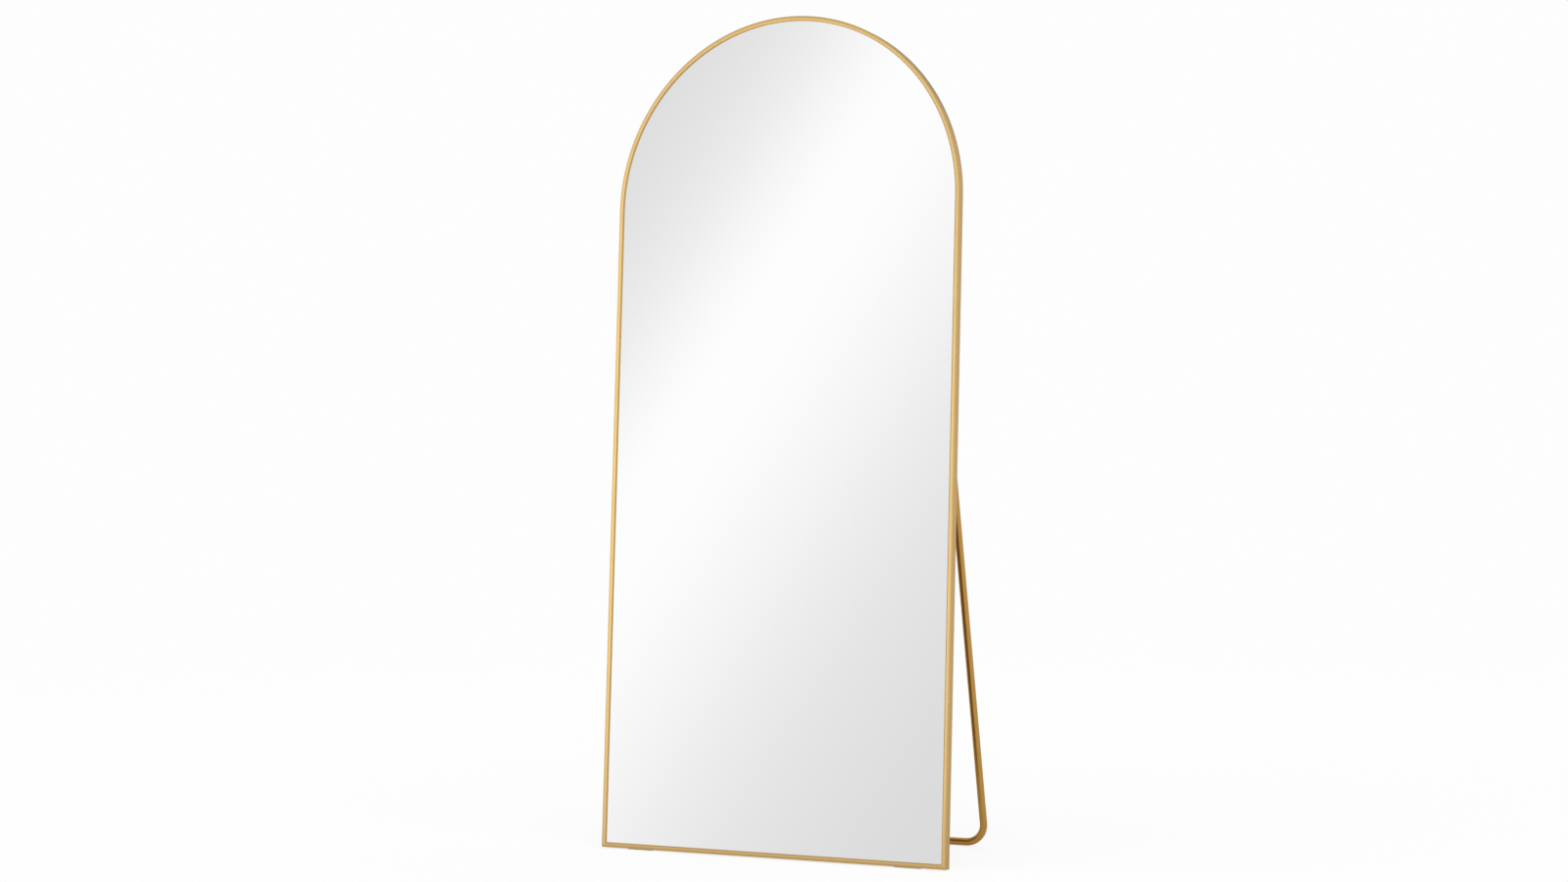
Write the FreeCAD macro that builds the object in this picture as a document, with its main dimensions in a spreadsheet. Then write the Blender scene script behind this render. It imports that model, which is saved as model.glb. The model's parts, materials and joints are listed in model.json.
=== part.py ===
"""Arched floor mirror that leans back on a folding U-shaped stand.

Sizes are millimetres and degrees. +Z is up, +X is to the viewer's right, and the mirror faces -Y.
The origin is on the floor, in the middle of the object's footprint.
"""
import FreeCAD, Part
import math
import os
from types import SimpleNamespace

import Sketcher

Vector = FreeCAD.Vector
Rotation = FreeCAD.Rotation
Placement = FreeCAD.Placement

document = FreeCAD.newDocument("LeaningFloorMirror")
sheet = document.addObject("Spreadsheet::Sheet", "Sizes")


# ---------------------------------------------------------------- sizes and expressions

class Size:
    """A length, angle or ratio: its number, and the expression on the sheet that gives it."""

    def __init__(self, number, text):
        self.number = number
        self.text = text

    def combined(self, number, sign, other, swapped=False):
        first, second = (other.text, self.text) if swapped else (self.text, other.text)
        return Size(number, f"({first} {sign} {second})")

    def __add__(self, other):
        other = as_size(other)
        return self.combined(self.number + other.number, "+", other)

    def __sub__(self, other):
        other = as_size(other)
        return self.combined(self.number - other.number, "-", other)

    def __mul__(self, other):
        other = as_size(other)
        return self.combined(self.number * other.number, "*", other)

    def __truediv__(self, other):
        other = as_size(other)
        return self.combined(self.number / other.number, "/", other)

    def __rsub__(self, other):
        other = as_size(other)
        return self.combined(other.number - self.number, "-", other, swapped=True)

    def __neg__(self):
        return Size(-self.number, f"(0 - {self.text})")

    __radd__ = __add__
    __rmul__ = __mul__


def as_size(value):
    return value if isinstance(value, Size) else Size(float(value), f"({value})")


def sine(angle):
    return Size(math.sin(math.radians(angle.number)), f"sin({angle.text})")


def cosine(angle):
    return Size(math.cos(math.radians(angle.number)), f"cos({angle.text})")


def tangent(angle):
    return Size(math.tan(math.radians(angle.number)), f"tan({angle.text})")


def square_root(value):
    return Size(math.sqrt(value.number), f"sqrt({value.text})")


# ---------------------------------------------------------------- driving dimensions

# Lengths in millimetres and angles in degrees. Each goes into a cell of the sheet under its name.
DRIVING = {
    # The mirror and the extrusion that frames it.
    "mirror_width": 813.0,
    "mirror_height": 1803.0,
    "face_width": 10.5,
    "lip_thickness": 2.4,
    "lip_bevel_width": 2.5,
    "lip_bevel_drop": 1.0,
    "edge_break": 0.4,
    "outer_wall": 1.4,
    "chamber_depth": 6.4,
    "chamber_wall": 1.2,

    # The layers that slide into the groove of the extrusion.
    "glass_thickness": 4.0,
    "film_thickness": 0.2,
    "foam_thickness": 2.0,
    "board_thickness": 4.0,
    "glass_edge_gap": 1.0,

    # The two keys that join the rail to the sides inside the chamber.
    "key_arm_length": 34.0,
    "key_clearance": 0.15,
    "key_screw_diameter": 4.0,
    "key_screw_inset": 6.0,
    "key_screw_pitch": 12.0,

    # How it stands.
    "lean_angle": 4.0,
    "stand_angle": 15.7,
    "hinge_drop": 256.5,
    "leg_inset": 53.0,

    # The stand.
    "tube_diameter": 16.0,
    "tube_wall": 1.2,
    "bend_radius": 45.0,
    "heel_length": 14.0,
    "plug_cap": 1.5,
    "plug_depth": 8.0,
    "plug_clearance": 0.1,
    "sleeve_wall": 1.5,
    "sleeve_length": 70.0,
    "sleeve_inset": 60.0,

    # The hinge.
    "bracket_thickness": 2.0,
    "bracket_height": 48.0,
    "bracket_reach": 26.0,
    "bracket_edge_inset": 1.5,
    "bracket_corner": 3.0,
    "ear_radius": 9.0,
    "washer_thickness": 1.0,
    "washer_radius": 6.0,
    "side_play": 0.1,
    "bolt_diameter": 6.0,
    "running_clearance": 0.05,
    "bush_wall": 1.0,
    "bolt_head_radius": 5.5,
    "bolt_head_height": 3.0,
    "nut_radius": 5.7,
    "nut_height": 5.0,
    "bolt_tail": 1.5,
    "stop_gap": 0.3,

    # The bar across the back, and the screws in the back.
    "crossbar_height": 36.0,
    "crossbar_end_gap": 0.2,
    "screw_diameter": 4.0,
    "screw_head_diameter": 7.0,
    "screw_head_height": 2.2,
    "screw_tip_gap": 1.4,
    "bar_screw_pitch": 22.0,
    "bar_screw_offset": 19.0,
    "rail_screw_pitch": 34.0,

    # The plates that hang it on a wall instead.
    "hanger_drop": 46.5,
    "hanger_width": 32.0,
    "hanger_height": 44.0,
    "hanger_thickness": 1.5,
    "hanger_screw_pitch": 30.0,
    "keyhole_diameter": 9.0,
    "keyhole_slot_width": 4.6,
    "keyhole_slot_length": 9.0,
    "keyhole_inset": 10.0,

    # The soft strips under the rail, and the rubber studs behind it.
    "pad_thickness": 1.5,
    "pad_length": 60.0,
    "pad_width": 8.0,
    "pad_inset": 60.0,
    "pad_setback": 1.5,
    "bumper_diameter": 9.0,
    "bumper_gap": 0.3,
}


def fill_sheet():
    """Write the driving dimensions on the sheet and hand them back as Sizes, by name."""
    sizes = SimpleNamespace()
    for row, (name, number) in enumerate(DRIVING.items(), start=1):
        sheet.set(f"A{row}", name)
        sheet.set(f"B{row}", str(number))
        sheet.setAlias(f"B{row}", name)
        setattr(sizes, name, Size(float(number), f"Sizes.{name}"))
    return sizes


size = fill_sheet()

# ---------------------------------------------------------------- what follows from them

half_width = size.mirror_width / 2
spring_line = size.mirror_height - half_width
stack_thickness = size.glass_thickness + size.film_thickness + size.foam_thickness + size.board_thickness
frame_depth = size.lip_thickness + stack_thickness + size.chamber_depth
hinge_height = spring_line - size.hinge_drop
leg_x = half_width - size.leg_inset
tube_radius = size.tube_diameter / 2
bore_radius = tube_radius - size.tube_wall
bolt_radius = size.bolt_diameter / 2
bush_bore = bolt_radius + size.running_clearance
bush_radius = bush_bore + size.bush_wall
screw_radius = size.screw_diameter / 2

# The heel of each leg, above the pivot, meets the bracket's plate when the stand is open.
heel_reach = size.heel_length + size.plug_cap
heel_swing = heel_reach * sine(size.stand_angle)
pivot_standoff = tube_radius * cosine(size.stand_angle) + heel_swing + size.stop_gap
pivot_gap = size.bracket_thickness + pivot_standoff

# Heights and depths on the floor, measured from the lower back edge of the rail.
splay_angle = size.stand_angle - size.lean_angle
pivot_back = hinge_height * sine(size.lean_angle) + pivot_gap * cosine(size.lean_angle)
pivot_rise = hinge_height * cosine(size.lean_angle) - pivot_gap * sine(size.lean_angle)
pivot_up = size.pad_thickness + pivot_rise
sleeve_radius = tube_radius + size.sleeve_wall
leg_length = (pivot_up - sleeve_radius) / cosine(splay_angle)
foot_back = pivot_back + leg_length * sine(splay_angle) + sleeve_radius
front_reach = frame_depth * cosine(size.lean_angle)
heel_line = (front_reach - foot_back) / 2
pivot_y = heel_line + pivot_back

# Inner ear faces leave room for the tube, a washer on each side of it and a little play.
ear_gap = tube_radius + size.washer_thickness + size.side_play * 2
ear_outside = ear_gap + size.bracket_thickness
plate_outer = half_width - size.bracket_edge_inset
rail_screw_x = half_width - size.face_width / 2
hanger_level = spring_line - size.hanger_drop
keyhole_x = half_width - size.bracket_edge_inset - size.hanger_width + size.keyhole_inset
hanger_inner = half_width - size.bracket_edge_inset - size.hanger_width

SIDES = (("left", -1), ("right", 1))
ENDS = (-1, 1)

parts = []


# ---------------------------------------------------------------- drawing helpers

def origin_plane(body, role):
    return [item for item in body.Origin.OriginFeatures if item.Role == role][0]


def new_body(label):
    body = document.addObject("PartDesign::Body", label)
    body.Label = label
    parts.append(body)
    return body


def sketch_on(body, role, name, offset=None):
    """A sketch on one of the body's own planes, moved along the plane's normal by offset."""
    sketch = body.newObject("Sketcher::SketchObject", name)
    sketch.AttachmentSupport = [(origin_plane(body, role), "")]
    sketch.MapMode = "FlatFace"
    if offset is not None:
        sketch.AttachmentOffset = Placement(Vector(0, 0, offset.number), Rotation())
        sketch.setExpression("AttachmentOffset.Base.z", offset.text)
    return sketch


def bind(sketch, kind, where, value):
    value = as_size(value)
    index = sketch.addConstraint(Sketcher.Constraint(kind, *where, value.number))
    sketch.setExpression(f"Constraints[{index}]", value.text)


def place_point(sketch, geometry, corner, point):
    bind(sketch, "DistanceX", (geometry, corner), point[0])
    bind(sketch, "DistanceY", (geometry, corner), point[1])


def flat(point):
    return Vector(as_size(point[0]).number, as_size(point[1]).number, 0)


def arc_between(start, end, centre, turn):
    """The arc about centre from start to end; turn is 1 anticlockwise and -1 clockwise."""
    first = math.atan2(start.y - centre.y, start.x - centre.x)
    last = math.atan2(end.y - centre.y, end.x - centre.x)
    radius = start.distanceToPoint(centre)
    circle = Part.Circle(centre, Vector(0, 0, 1), radius)
    if turn > 0:
        return Part.ArcOfCircle(circle, first, last if last > first else last + 2 * math.pi)
    return Part.ArcOfCircle(circle, last, first if first > last else first + 2 * math.pi)


def outline(sketch, points, bends=None, closed=True):
    """Lines through points. bends maps a run's number to (centre, turn, the axis that fixes it)."""
    bends = bends or {}
    count = len(points)
    runs = count if closed else count - 1
    ends = []
    for run in range(runs):
        start, end = flat(points[run]), flat(points[(run + 1) % count])
        if run in bends:
            centre, turn, fixed = bends[run]
            geometry = sketch.addGeometry(arc_between(start, end, flat(centre), turn), False)
            ends.append((geometry, 1, 2) if turn > 0 else (geometry, 2, 1))
        else:
            geometry = sketch.addGeometry(Part.LineSegment(start, end), False)
            ends.append((geometry, 1, 2))
    for run in range(runs if closed else runs - 1):
        this, last = ends[run][0], ends[run][2]
        following, first = ends[(run + 1) % runs][:2]
        sketch.addConstraint(Sketcher.Constraint("Coincident", this, last, following, first))
    for run in range(runs):
        place_point(sketch, ends[run][0], ends[run][1], points[run])
    if not closed:
        place_point(sketch, ends[-1][0], ends[-1][2], points[-1])
    for run, (centre, turn, fixed) in bends.items():
        value = centre[0] if fixed == "DistanceX" else centre[1]
        bind(sketch, fixed, (ends[run][0], 3), value)


def rectangle(sketch, low_x, low_y, high_x, high_y):
    outline(sketch, [(low_x, low_y), (high_x, low_y), (high_x, high_y), (low_x, high_y)])


def rounded_rectangle(sketch, low_x, low_y, high_x, high_y, corner):
    left, right = low_x + corner, high_x - corner
    low, high = low_y + corner, high_y - corner
    points = [(left, low_y), (right, low_y), (high_x, low), (high_x, high),
              (right, high_y), (left, high_y), (low_x, high), (low_x, low)]
    bends = {1: ((right, low), 1, "DistanceX"), 3: ((right, high), 1, "DistanceX"),
             5: ((left, high), 1, "DistanceX"), 7: ((left, low), 1, "DistanceX")}
    outline(sketch, points, bends)


def circle(sketch, x, y, radius):
    radius = as_size(radius)
    shape = Part.Circle(flat((x, y)), Vector(0, 0, 1), radius.number)
    geometry = sketch.addGeometry(shape, False)
    place_point(sketch, geometry, 3, (x, y))
    bind(sketch, "Radius", (geometry,), radius)


def pad(body, sketch, length, midplane=False, backwards=False):
    """Thicken a sketch into the body; backwards goes against the plane's normal."""
    feature = body.newObject("PartDesign::Pad", f"{sketch.Name}_pad")
    feature.Profile = sketch
    feature.setExpression("Length", length.text)
    feature.Midplane = midplane
    feature.Reversed = backwards
    return feature


def cut_through(body, sketch):
    """Cut a sketch through the whole body, both ways from its plane."""
    feature = body.newObject("PartDesign::Pocket", f"{sketch.Name}_cut")
    feature.Profile = sketch
    feature.Type = "ThroughAll"
    feature.Midplane = True
    return feature


def set_placement(item, y, z, axis, angle):
    """Stand a piece at (0, y, z), turned by angle about axis."""
    item.Placement = Placement(Vector(0, y.number, z.number), Rotation(axis, angle.number))
    item.setExpression("Placement.Base.y", y.text)
    item.setExpression("Placement.Base.z", z.text)
    item.setExpression("Placement.Rotation.Angle", angle.text)


def lean(item):
    """Put a piece drawn upright on the leaning mirror: y = 0 is the frame's back, z = 0 its foot."""
    set_placement(item, heel_line, size.pad_thickness, Vector(-1, 0, 0), size.lean_angle)


def lean_at_pivot(item):
    """The same lean, for a piece drawn about the hinge's own axis."""
    set_placement(item, pivot_y, pivot_up, Vector(-1, 0, 0), size.lean_angle)


def stand_at_pivot(item):
    """Put a piece of the stand, drawn upright about the hinge's axis, at its splay."""
    set_placement(item, pivot_y, pivot_up, Vector(1, 0, 0), splay_angle)


TO_FRONT = Rotation(Vector(1, 0, 0), 90)
TO_BACK = Rotation(Vector(1, 0, 0), -90)
UPRIGHT = Rotation()


def put(item, x, y, z, turn):
    x, y, z = as_size(x), as_size(y), as_size(z)
    item.Placement = Placement(Vector(x.number, y.number, z.number), turn)
    item.setExpression("Placement.Base.x", x.text)
    item.setExpression("Placement.Base.y", y.text)
    item.setExpression("Placement.Base.z", z.text)
    return item


def rod(name, radius, length, x, y, z, turn):
    item = document.addObject("Part::Cylinder", name)
    item.setExpression("Radius", radius.text)
    item.setExpression("Height", length.text)
    return put(item, x, y, z, turn)


def outward(side):
    """The turn that lays a rod along X, away from the middle of the mirror."""
    return Rotation(Vector(0, 1, 0), 90 * side)


def ring(name, radius, bore, length, x, side):
    """A rod along X from x outwards, with a bore right through it."""
    item = document.addObject("Part::Cut", name)
    item.Base = rod(f"{name}_outer", radius, length, side * x, 0, 0, outward(side))
    item.Tool = rod(f"{name}_bore", bore, length, side * x, 0, 0, outward(side))
    return item


def together(label, pieces):
    """One node from several pieces: those that touch join, the others stay separate solids."""
    group = document.addObject("Part::MultiFuse", label)
    group.Label = label
    group.Shapes = pieces
    parts.append(group)
    return group


# ---------------------------------------------------------------- the frame

def frame_section(across):
    """The extrusion's corners: across gives the sideways place for a distance in from the edge.

    A lip holds the glass from the front, the closed chamber behind the groove stiffens it.
    """
    return [
        (across(0), as_size(0)),
        (across(size.face_width), as_size(0)),
        (across(size.face_width), -size.chamber_depth),
        (across(size.outer_wall), -size.chamber_depth),
        (across(size.outer_wall), size.lip_thickness - frame_depth),
        (across(size.face_width), size.lip_thickness - frame_depth),
        (across(size.face_width), size.lip_bevel_drop - frame_depth),
        (across(size.face_width - size.lip_bevel_width), -frame_depth),
        (across(size.edge_break), -frame_depth),
        (across(0), size.edge_break - frame_depth),
    ]


def chamber_section(across):
    inner = size.face_width - size.chamber_wall
    return [
        (across(size.outer_wall), -size.chamber_wall),
        (across(inner), -size.chamber_wall),
        (across(inner), size.chamber_wall - size.chamber_depth),
        (across(size.outer_wall), size.chamber_wall - size.chamber_depth),
    ]


def side_places(side):
    """Sideways places on the mirror's left or right side, for frame_section."""
    return lambda inwards: side * (half_width - inwards)


def rail_screw_places(side):
    """Where a bracket is screwed to its side of the frame: x and height."""
    return [(side * rail_screw_x, hinge_height + end * size.rail_screw_pitch / 2) for end in ENDS]


def hanger_screw_places(side):
    """Where a hanger plate is screwed to its side of the frame: x and height."""
    return [(side * rail_screw_x, hanger_level + end * size.hanger_screw_pitch / 2) for end in ENDS]


def key_screw_places():
    """Two screws in each arm of each corner key: (x, height) on the sides, then on the rail."""
    on_sides, on_rail = [], []
    for side in ENDS:
        for step in range(2):
            along = size.face_width + size.key_screw_inset + step * size.key_screw_pitch
            on_sides.append((side * rail_screw_x, along))
            on_rail.append((side * (half_width - along), size.face_width / 2))
    return on_sides, on_rail


def back_holes(body, name, places, radius):
    """Screw holes in the back wall of the extrusion's chamber."""
    sketch = sketch_on(body, "XZ_Plane", name)
    for x, height in places:
        circle(sketch, x, height, radius)
    feature = body.newObject("PartDesign::Pocket", f"{name}_cut")
    feature.Profile = sketch
    feature.setExpression("Length", size.chamber_wall.text)
    feature.Reversed = True
    return feature


def mitre(body, name, corners):
    """Cut the same triangle off at both lower corners of the mirror."""
    sketch = sketch_on(body, "XZ_Plane", name)
    for side in ENDS:
        outline(sketch, [(side * x, z) for x, z in corners])
    return cut_through(body, sketch)


def arch_frame():
    """The sides and the arch: one length of extrusion bent to a half circle."""
    body = new_body("arch_frame")
    sides = sketch_on(body, "XY_Plane", "side_section")
    for side in ENDS:
        outline(sides, frame_section(side_places(side)))
        outline(sides, chamber_section(side_places(side)))
    pad(body, sides, spring_line)

    arch = sketch_on(body, "XY_Plane", "arch_section", spring_line)
    outline(arch, frame_section(side_places(1)))
    outline(arch, chamber_section(side_places(1)))
    bend = body.newObject("PartDesign::Revolution", "arch_bend")
    bend.Profile = arch
    bend.ReferenceAxis = (arch, ["V_Axis"])
    bend.Angle = 180
    bend.Reversed = True

    mitre(body, "side_mitre", [(half_width, as_size(0)), (half_width - size.face_width, size.face_width),
                               (half_width - size.face_width, as_size(0))])
    places = [place for side in ENDS for place in rail_screw_places(side) + hanger_screw_places(side)]
    back_holes(body, "side_screw_holes", places, screw_radius)
    back_holes(body, "side_key_holes", key_screw_places()[0], size.key_screw_diameter / 2)
    lean(body)


def bottom_rail():
    """The straight rail under the glass, mitred into both sides."""
    body = new_body("bottom_rail")
    section = sketch_on(body, "YZ_Plane", "rail_section")
    for corners in (frame_section(as_size), chamber_section(as_size)):
        outline(section, [(depth, height) for height, depth in corners])
    pad(body, section, size.mirror_width, midplane=True)
    mitre(body, "rail_mitre", [(half_width, as_size(0)), (half_width, size.face_width),
                               (half_width - size.face_width, size.face_width)])
    back_holes(body, "rail_key_holes", key_screw_places()[1], size.key_screw_diameter / 2)
    lean(body)


def corner_key(name, side):
    """An L-shaped key that fills the chamber round a lower corner."""
    body = new_body(f"corner_key_{name}")
    sketch = sketch_on(body, "XZ_Plane", "key_face", size.chamber_wall + size.key_clearance)
    near = size.outer_wall + size.key_clearance
    far = size.face_width - size.chamber_wall - size.key_clearance
    end = size.face_width + size.key_arm_length
    corners = [(near, near), (end, near), (end, far), (far, far), (far, end), (near, end)]
    outline(sketch, [(side * (half_width - inwards), height) for inwards, height in corners])
    pad(body, sketch, size.chamber_depth - size.chamber_wall * 2 - size.key_clearance * 2)
    for place, label in zip(key_screw_places(), ("side_arm", "rail_arm")):
        holes = sketch_on(body, "XZ_Plane", f"{label}_holes")
        for x, height in place:
            if x.number * side > 0:
                circle(holes, x, height, size.key_screw_diameter / 2)
        cut_through(body, holes)
    lean(body)


def corner_key_screws():
    """Set screws, flush with the back, that lock the keys in the chamber."""
    length = size.chamber_depth - size.chamber_wall - size.key_clearance
    pieces = []
    for x, height in key_screw_places()[0] + key_screw_places()[1]:
        name = f"key_screw_{len(pieces)}"
        pieces.append(rod(name, size.key_screw_diameter / 2, length, x, 0, height, TO_FRONT))
    lean(together("corner_key_screws", pieces))


# ---------------------------------------------------------------- the layers in the frame

def layer(label, thickness, back):
    """An arched sheet in the groove, whose back lies back in front of the frame's back."""
    body = new_body(label)
    sketch = sketch_on(body, "XZ_Plane", f"{label}_face", back)
    inset = size.outer_wall + size.glass_edge_gap
    reach = half_width - inset
    points = [(-reach, inset), (reach, inset), (reach, spring_line), (-reach, spring_line)]
    outline(sketch, points, {2: ((as_size(0), spring_line), 1, "DistanceY")})
    pad(body, sketch, thickness)
    lean(body)


def glazing():
    """Mirror, safety film, foam and board, counted from the back of the groove forwards."""
    back = size.chamber_depth
    layers = {"backboard": size.board_thickness, "foam_sheet": size.foam_thickness,
              "safety_film": size.film_thickness, "mirror_glass": size.glass_thickness}
    for label, thickness in layers.items():
        layer(label, thickness, back)
        back = back + thickness


# ---------------------------------------------------------------- the hinge side of the mirror

def bar_screw_places(side):
    """Four screws from a bracket into the bar: two each side of the leg."""
    places = []
    for step in ENDS:
        for end in ENDS:
            x = side * leg_x + step * size.bar_screw_offset
            places.append((x, hinge_height + end * size.bar_screw_pitch / 2))
    return places


def crossbar():
    """The flat bar behind the board that carries both hinges, flush with the frame's back."""
    body = new_body("crossbar")
    sketch = sketch_on(body, "XZ_Plane", "bar_face")
    reach = half_width - size.face_width - size.crossbar_end_gap
    low = hinge_height - size.crossbar_height / 2
    rectangle(sketch, -reach, low, reach, low + size.crossbar_height)
    for side in ENDS:
        for x, height in bar_screw_places(side):
            circle(sketch, x, height, screw_radius)
    pad(body, sketch, size.chamber_depth)
    lean(body)


def hinge_bracket(name, side):
    """A pressed plate on the rail and the bar, with two ears that hold the pivot bolt."""
    body = new_body(f"hinge_bracket_{name}")
    plate = sketch_on(body, "XZ_Plane", "plate_face")
    inner, outer = side * (leg_x - size.bracket_reach), side * plate_outer
    low_x, high_x = (inner, outer) if side > 0 else (outer, inner)
    low, high = hinge_height - size.bracket_height / 2, hinge_height + size.bracket_height / 2
    rounded_rectangle(plate, low_x, low, high_x, high, size.bracket_corner)
    for x, height in bar_screw_places(side):
        circle(plate, x, height, screw_radius)
    for x, height in rail_screw_places(side):
        circle(plate, x, height, screw_radius)
    pad(body, plate, size.bracket_thickness, backwards=True)

    for step in ENDS:
        middle = side * leg_x + step * (ear_gap + size.bracket_thickness / 2)
        ear = sketch_on(body, "YZ_Plane", "inner_ear" if step < 0 else "outer_ear", middle)
        low, high = hinge_height - size.ear_radius, hinge_height + size.ear_radius
        points = [(as_size(0), low), (pivot_gap, low), (pivot_gap, high), (as_size(0), high)]
        outline(ear, points, {1: ((pivot_gap, hinge_height), 1, "DistanceX")})
        circle(ear, pivot_gap, hinge_height, bolt_radius)
        pad(body, ear, size.bracket_thickness, midplane=True)
    lean(body)


def back_screw(pieces, name, x, height, seat):
    """A pan-head screw into the back of the mirror, its head on a plate of thickness seat."""
    length = seat + size.chamber_depth - size.screw_tip_gap
    head_radius = size.screw_head_diameter / 2
    pieces.append(rod(f"{name}_shank", screw_radius, length, x, seat, height, TO_FRONT))
    pieces.append(rod(f"{name}_head", head_radius, size.screw_head_height, x, seat, height, TO_BACK))


def bracket_screws():
    pieces = []
    for name, side in SIDES:
        for number, (x, height) in enumerate(bar_screw_places(side) + rail_screw_places(side)):
            back_screw(pieces, f"bracket_screw_{name}_{number}", x, height, size.bracket_thickness)
    lean(together("bracket_screws", pieces))


def hinge_bolt(name, side):
    """The bolt a leg turns on, with its head outside and its thread in the nut inside."""
    tail = ear_outside + size.nut_height + size.bolt_tail
    turn = outward(side)
    shank = rod(f"bolt_shank_{name}", bolt_radius, tail + ear_outside, side * (leg_x - tail), 0, 0, turn)
    seat = side * (leg_x + ear_outside)
    head = rod(f"bolt_head_{name}", size.bolt_head_radius, size.bolt_head_height, seat, 0, 0, turn)
    lean_at_pivot(together(f"hinge_bolt_{name}", [shank, head]))


def hinge_nuts():
    nuts = []
    for name, side in SIDES:
        start = side * (leg_x - ear_outside - size.nut_height)
        blank = document.addObject("Part::Prism", f"nut_blank_{name}")
        blank.Polygon = 6
        blank.setExpression("Circumradius", size.nut_radius.text)
        blank.setExpression("Height", size.nut_height.text)
        put(blank, start, 0, 0, outward(side))
        nut = document.addObject("Part::Cut", f"nut_{name}")
        nut.Base = blank
        nut.Tool = rod(f"nut_bore_{name}", bolt_radius, size.nut_height, start, 0, 0, outward(side))
        nuts.append(nut)
    lean_at_pivot(together("hinge_nuts", nuts))


def hinge_washers():
    """Nylon washers, one each side of each leg, against the ears."""
    washers = []
    thickness = size.washer_thickness
    for name, side in SIDES:
        for place, start in (("inner", leg_x - ear_gap), ("outer", leg_x + ear_gap - thickness)):
            label = f"washer_{name}_{place}"
            washers.append(ring(label, size.washer_radius, bolt_radius, thickness, start, side))
    lean_at_pivot(together("hinge_washers", washers))


# ---------------------------------------------------------------- the wall hangers

def hanger_plate(name, side):
    """A plate with a keyhole over the recess, for hanging the mirror on two wall screws."""
    body = new_body(f"hanger_plate_{name}")
    plate = sketch_on(body, "XZ_Plane", "hanger_face")
    inner, outer = side * hanger_inner, side * plate_outer
    low_x, high_x = (inner, outer) if side > 0 else (outer, inner)
    low, high = hanger_level - size.hanger_height / 2, hanger_level + size.hanger_height / 2
    rounded_rectangle(plate, low_x, low, high_x, high, size.bracket_corner)
    for x, height in hanger_screw_places(side):
        circle(plate, x, height, screw_radius)
    circle(plate, side * keyhole_x, hanger_level, size.keyhole_diameter / 2)
    pad(body, plate, size.hanger_thickness, backwards=True)

    slot = sketch_on(body, "XZ_Plane", "keyhole_slot")
    middle, half = side * keyhole_x, size.keyhole_slot_width / 2
    top = hanger_level + size.keyhole_slot_length
    points = [(middle - half, hanger_level), (middle + half, hanger_level),
              (middle + half, top), (middle - half, top)]
    outline(slot, points, {2: ((middle, top), 1, "DistanceY")})
    cut_through(body, slot)
    lean(body)


def hanger_screws():
    pieces = []
    for name, side in SIDES:
        for number, (x, height) in enumerate(hanger_screw_places(side)):
            back_screw(pieces, f"hanger_screw_{name}_{number}", x, height, size.hanger_thickness)
    lean(together("hanger_screws", pieces))


# ---------------------------------------------------------------- strips and studs on the mirror

def floor_pad(name, side):
    """A clear soft strip whose top follows the tilted rail and whose base is level on the floor."""
    body = new_body(f"floor_pad_{name}")
    middle = side * (half_width - size.pad_inset - size.pad_length / 2)
    section = sketch_on(body, "YZ_Plane", "pad_section", middle)
    slope = tangent(size.lean_angle)
    back = heel_line - size.pad_setback * cosine(size.lean_angle)
    front = back - size.pad_width * cosine(size.lean_angle)
    outline(section, [(front, as_size(0)), (back, as_size(0)),
                      (back, size.pad_thickness + (heel_line - back) * slope),
                      (front, size.pad_thickness + (heel_line - front) * slope)])
    pad(body, section, size.pad_length, midplane=True)


def fold_bumpers():
    """Two rubber studs on the rail's back that the folded legs come to rest on, at their bends."""
    rise = hinge_height - leg_length + size.bend_radius - size.face_width / 2
    bend_x = leg_x - size.bend_radius + square_root(size.bend_radius * size.bend_radius - rise * rise)
    length = pivot_gap - tube_radius - size.bumper_gap
    radius, height = size.bumper_diameter / 2, size.face_width / 2
    studs = []
    for name, side in SIDES:
        studs.append(rod(f"bumper_{name}", radius, length, side * bend_x, 0, height, TO_BACK))
    lean(together("fold_bumpers", studs))


# ---------------------------------------------------------------- the stand

def stand_tube():
    """One tube bent to a U: down a leg, along the floor and up the other leg."""
    body = new_body("stand_tube")
    route = sketch_on(body, "XZ_Plane", "tube_route")
    bend_top, run = size.bend_radius - leg_length, -leg_length
    turn_x = leg_x - size.bend_radius
    points = [(leg_x, size.heel_length), (leg_x, bend_top), (turn_x, run),
              (-turn_x, run), (-leg_x, bend_top), (-leg_x, size.heel_length)]
    bends = {1: ((turn_x, bend_top), -1, "DistanceX"), 3: ((-turn_x, bend_top), -1, "DistanceX")}
    outline(route, points, bends, closed=False)

    section = sketch_on(body, "XY_Plane", "tube_section", size.heel_length)
    circle(section, leg_x, 0, tube_radius)
    circle(section, leg_x, 0, bore_radius)
    tube = body.newObject("PartDesign::AdditivePipe", "bent_tube")
    tube.Profile = section
    tube.Spine = (route, [])

    holes = sketch_on(body, "YZ_Plane", "pivot_holes")
    circle(holes, 0, 0, bush_radius)
    cut_through(body, holes)
    stand_at_pivot(body)


def pivot_bush(name, side):
    """A nylon tube across the leg that turns on the bolt."""
    half = tube_radius + size.side_play
    bush = ring(f"pivot_bush_{name}", bush_radius, bush_bore, half * 2, leg_x - half, side)
    bush.Label = f"pivot_bush_{name}"
    parts.append(bush)
    stand_at_pivot(bush)


def tube_plug(name, side):
    """The cap in the top of a leg, which meets the bracket when the stand is open."""
    stem = rod(f"plug_stem_{name}", bore_radius - size.plug_clearance, size.plug_depth, side * leg_x, 0,
               size.heel_length - size.plug_depth, UPRIGHT)
    cap = rod(f"plug_cap_{name}", tube_radius, size.plug_cap, side * leg_x, 0, size.heel_length, UPRIGHT)
    stand_at_pivot(together(f"tube_plug_{name}", [stem, cap]))


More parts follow.
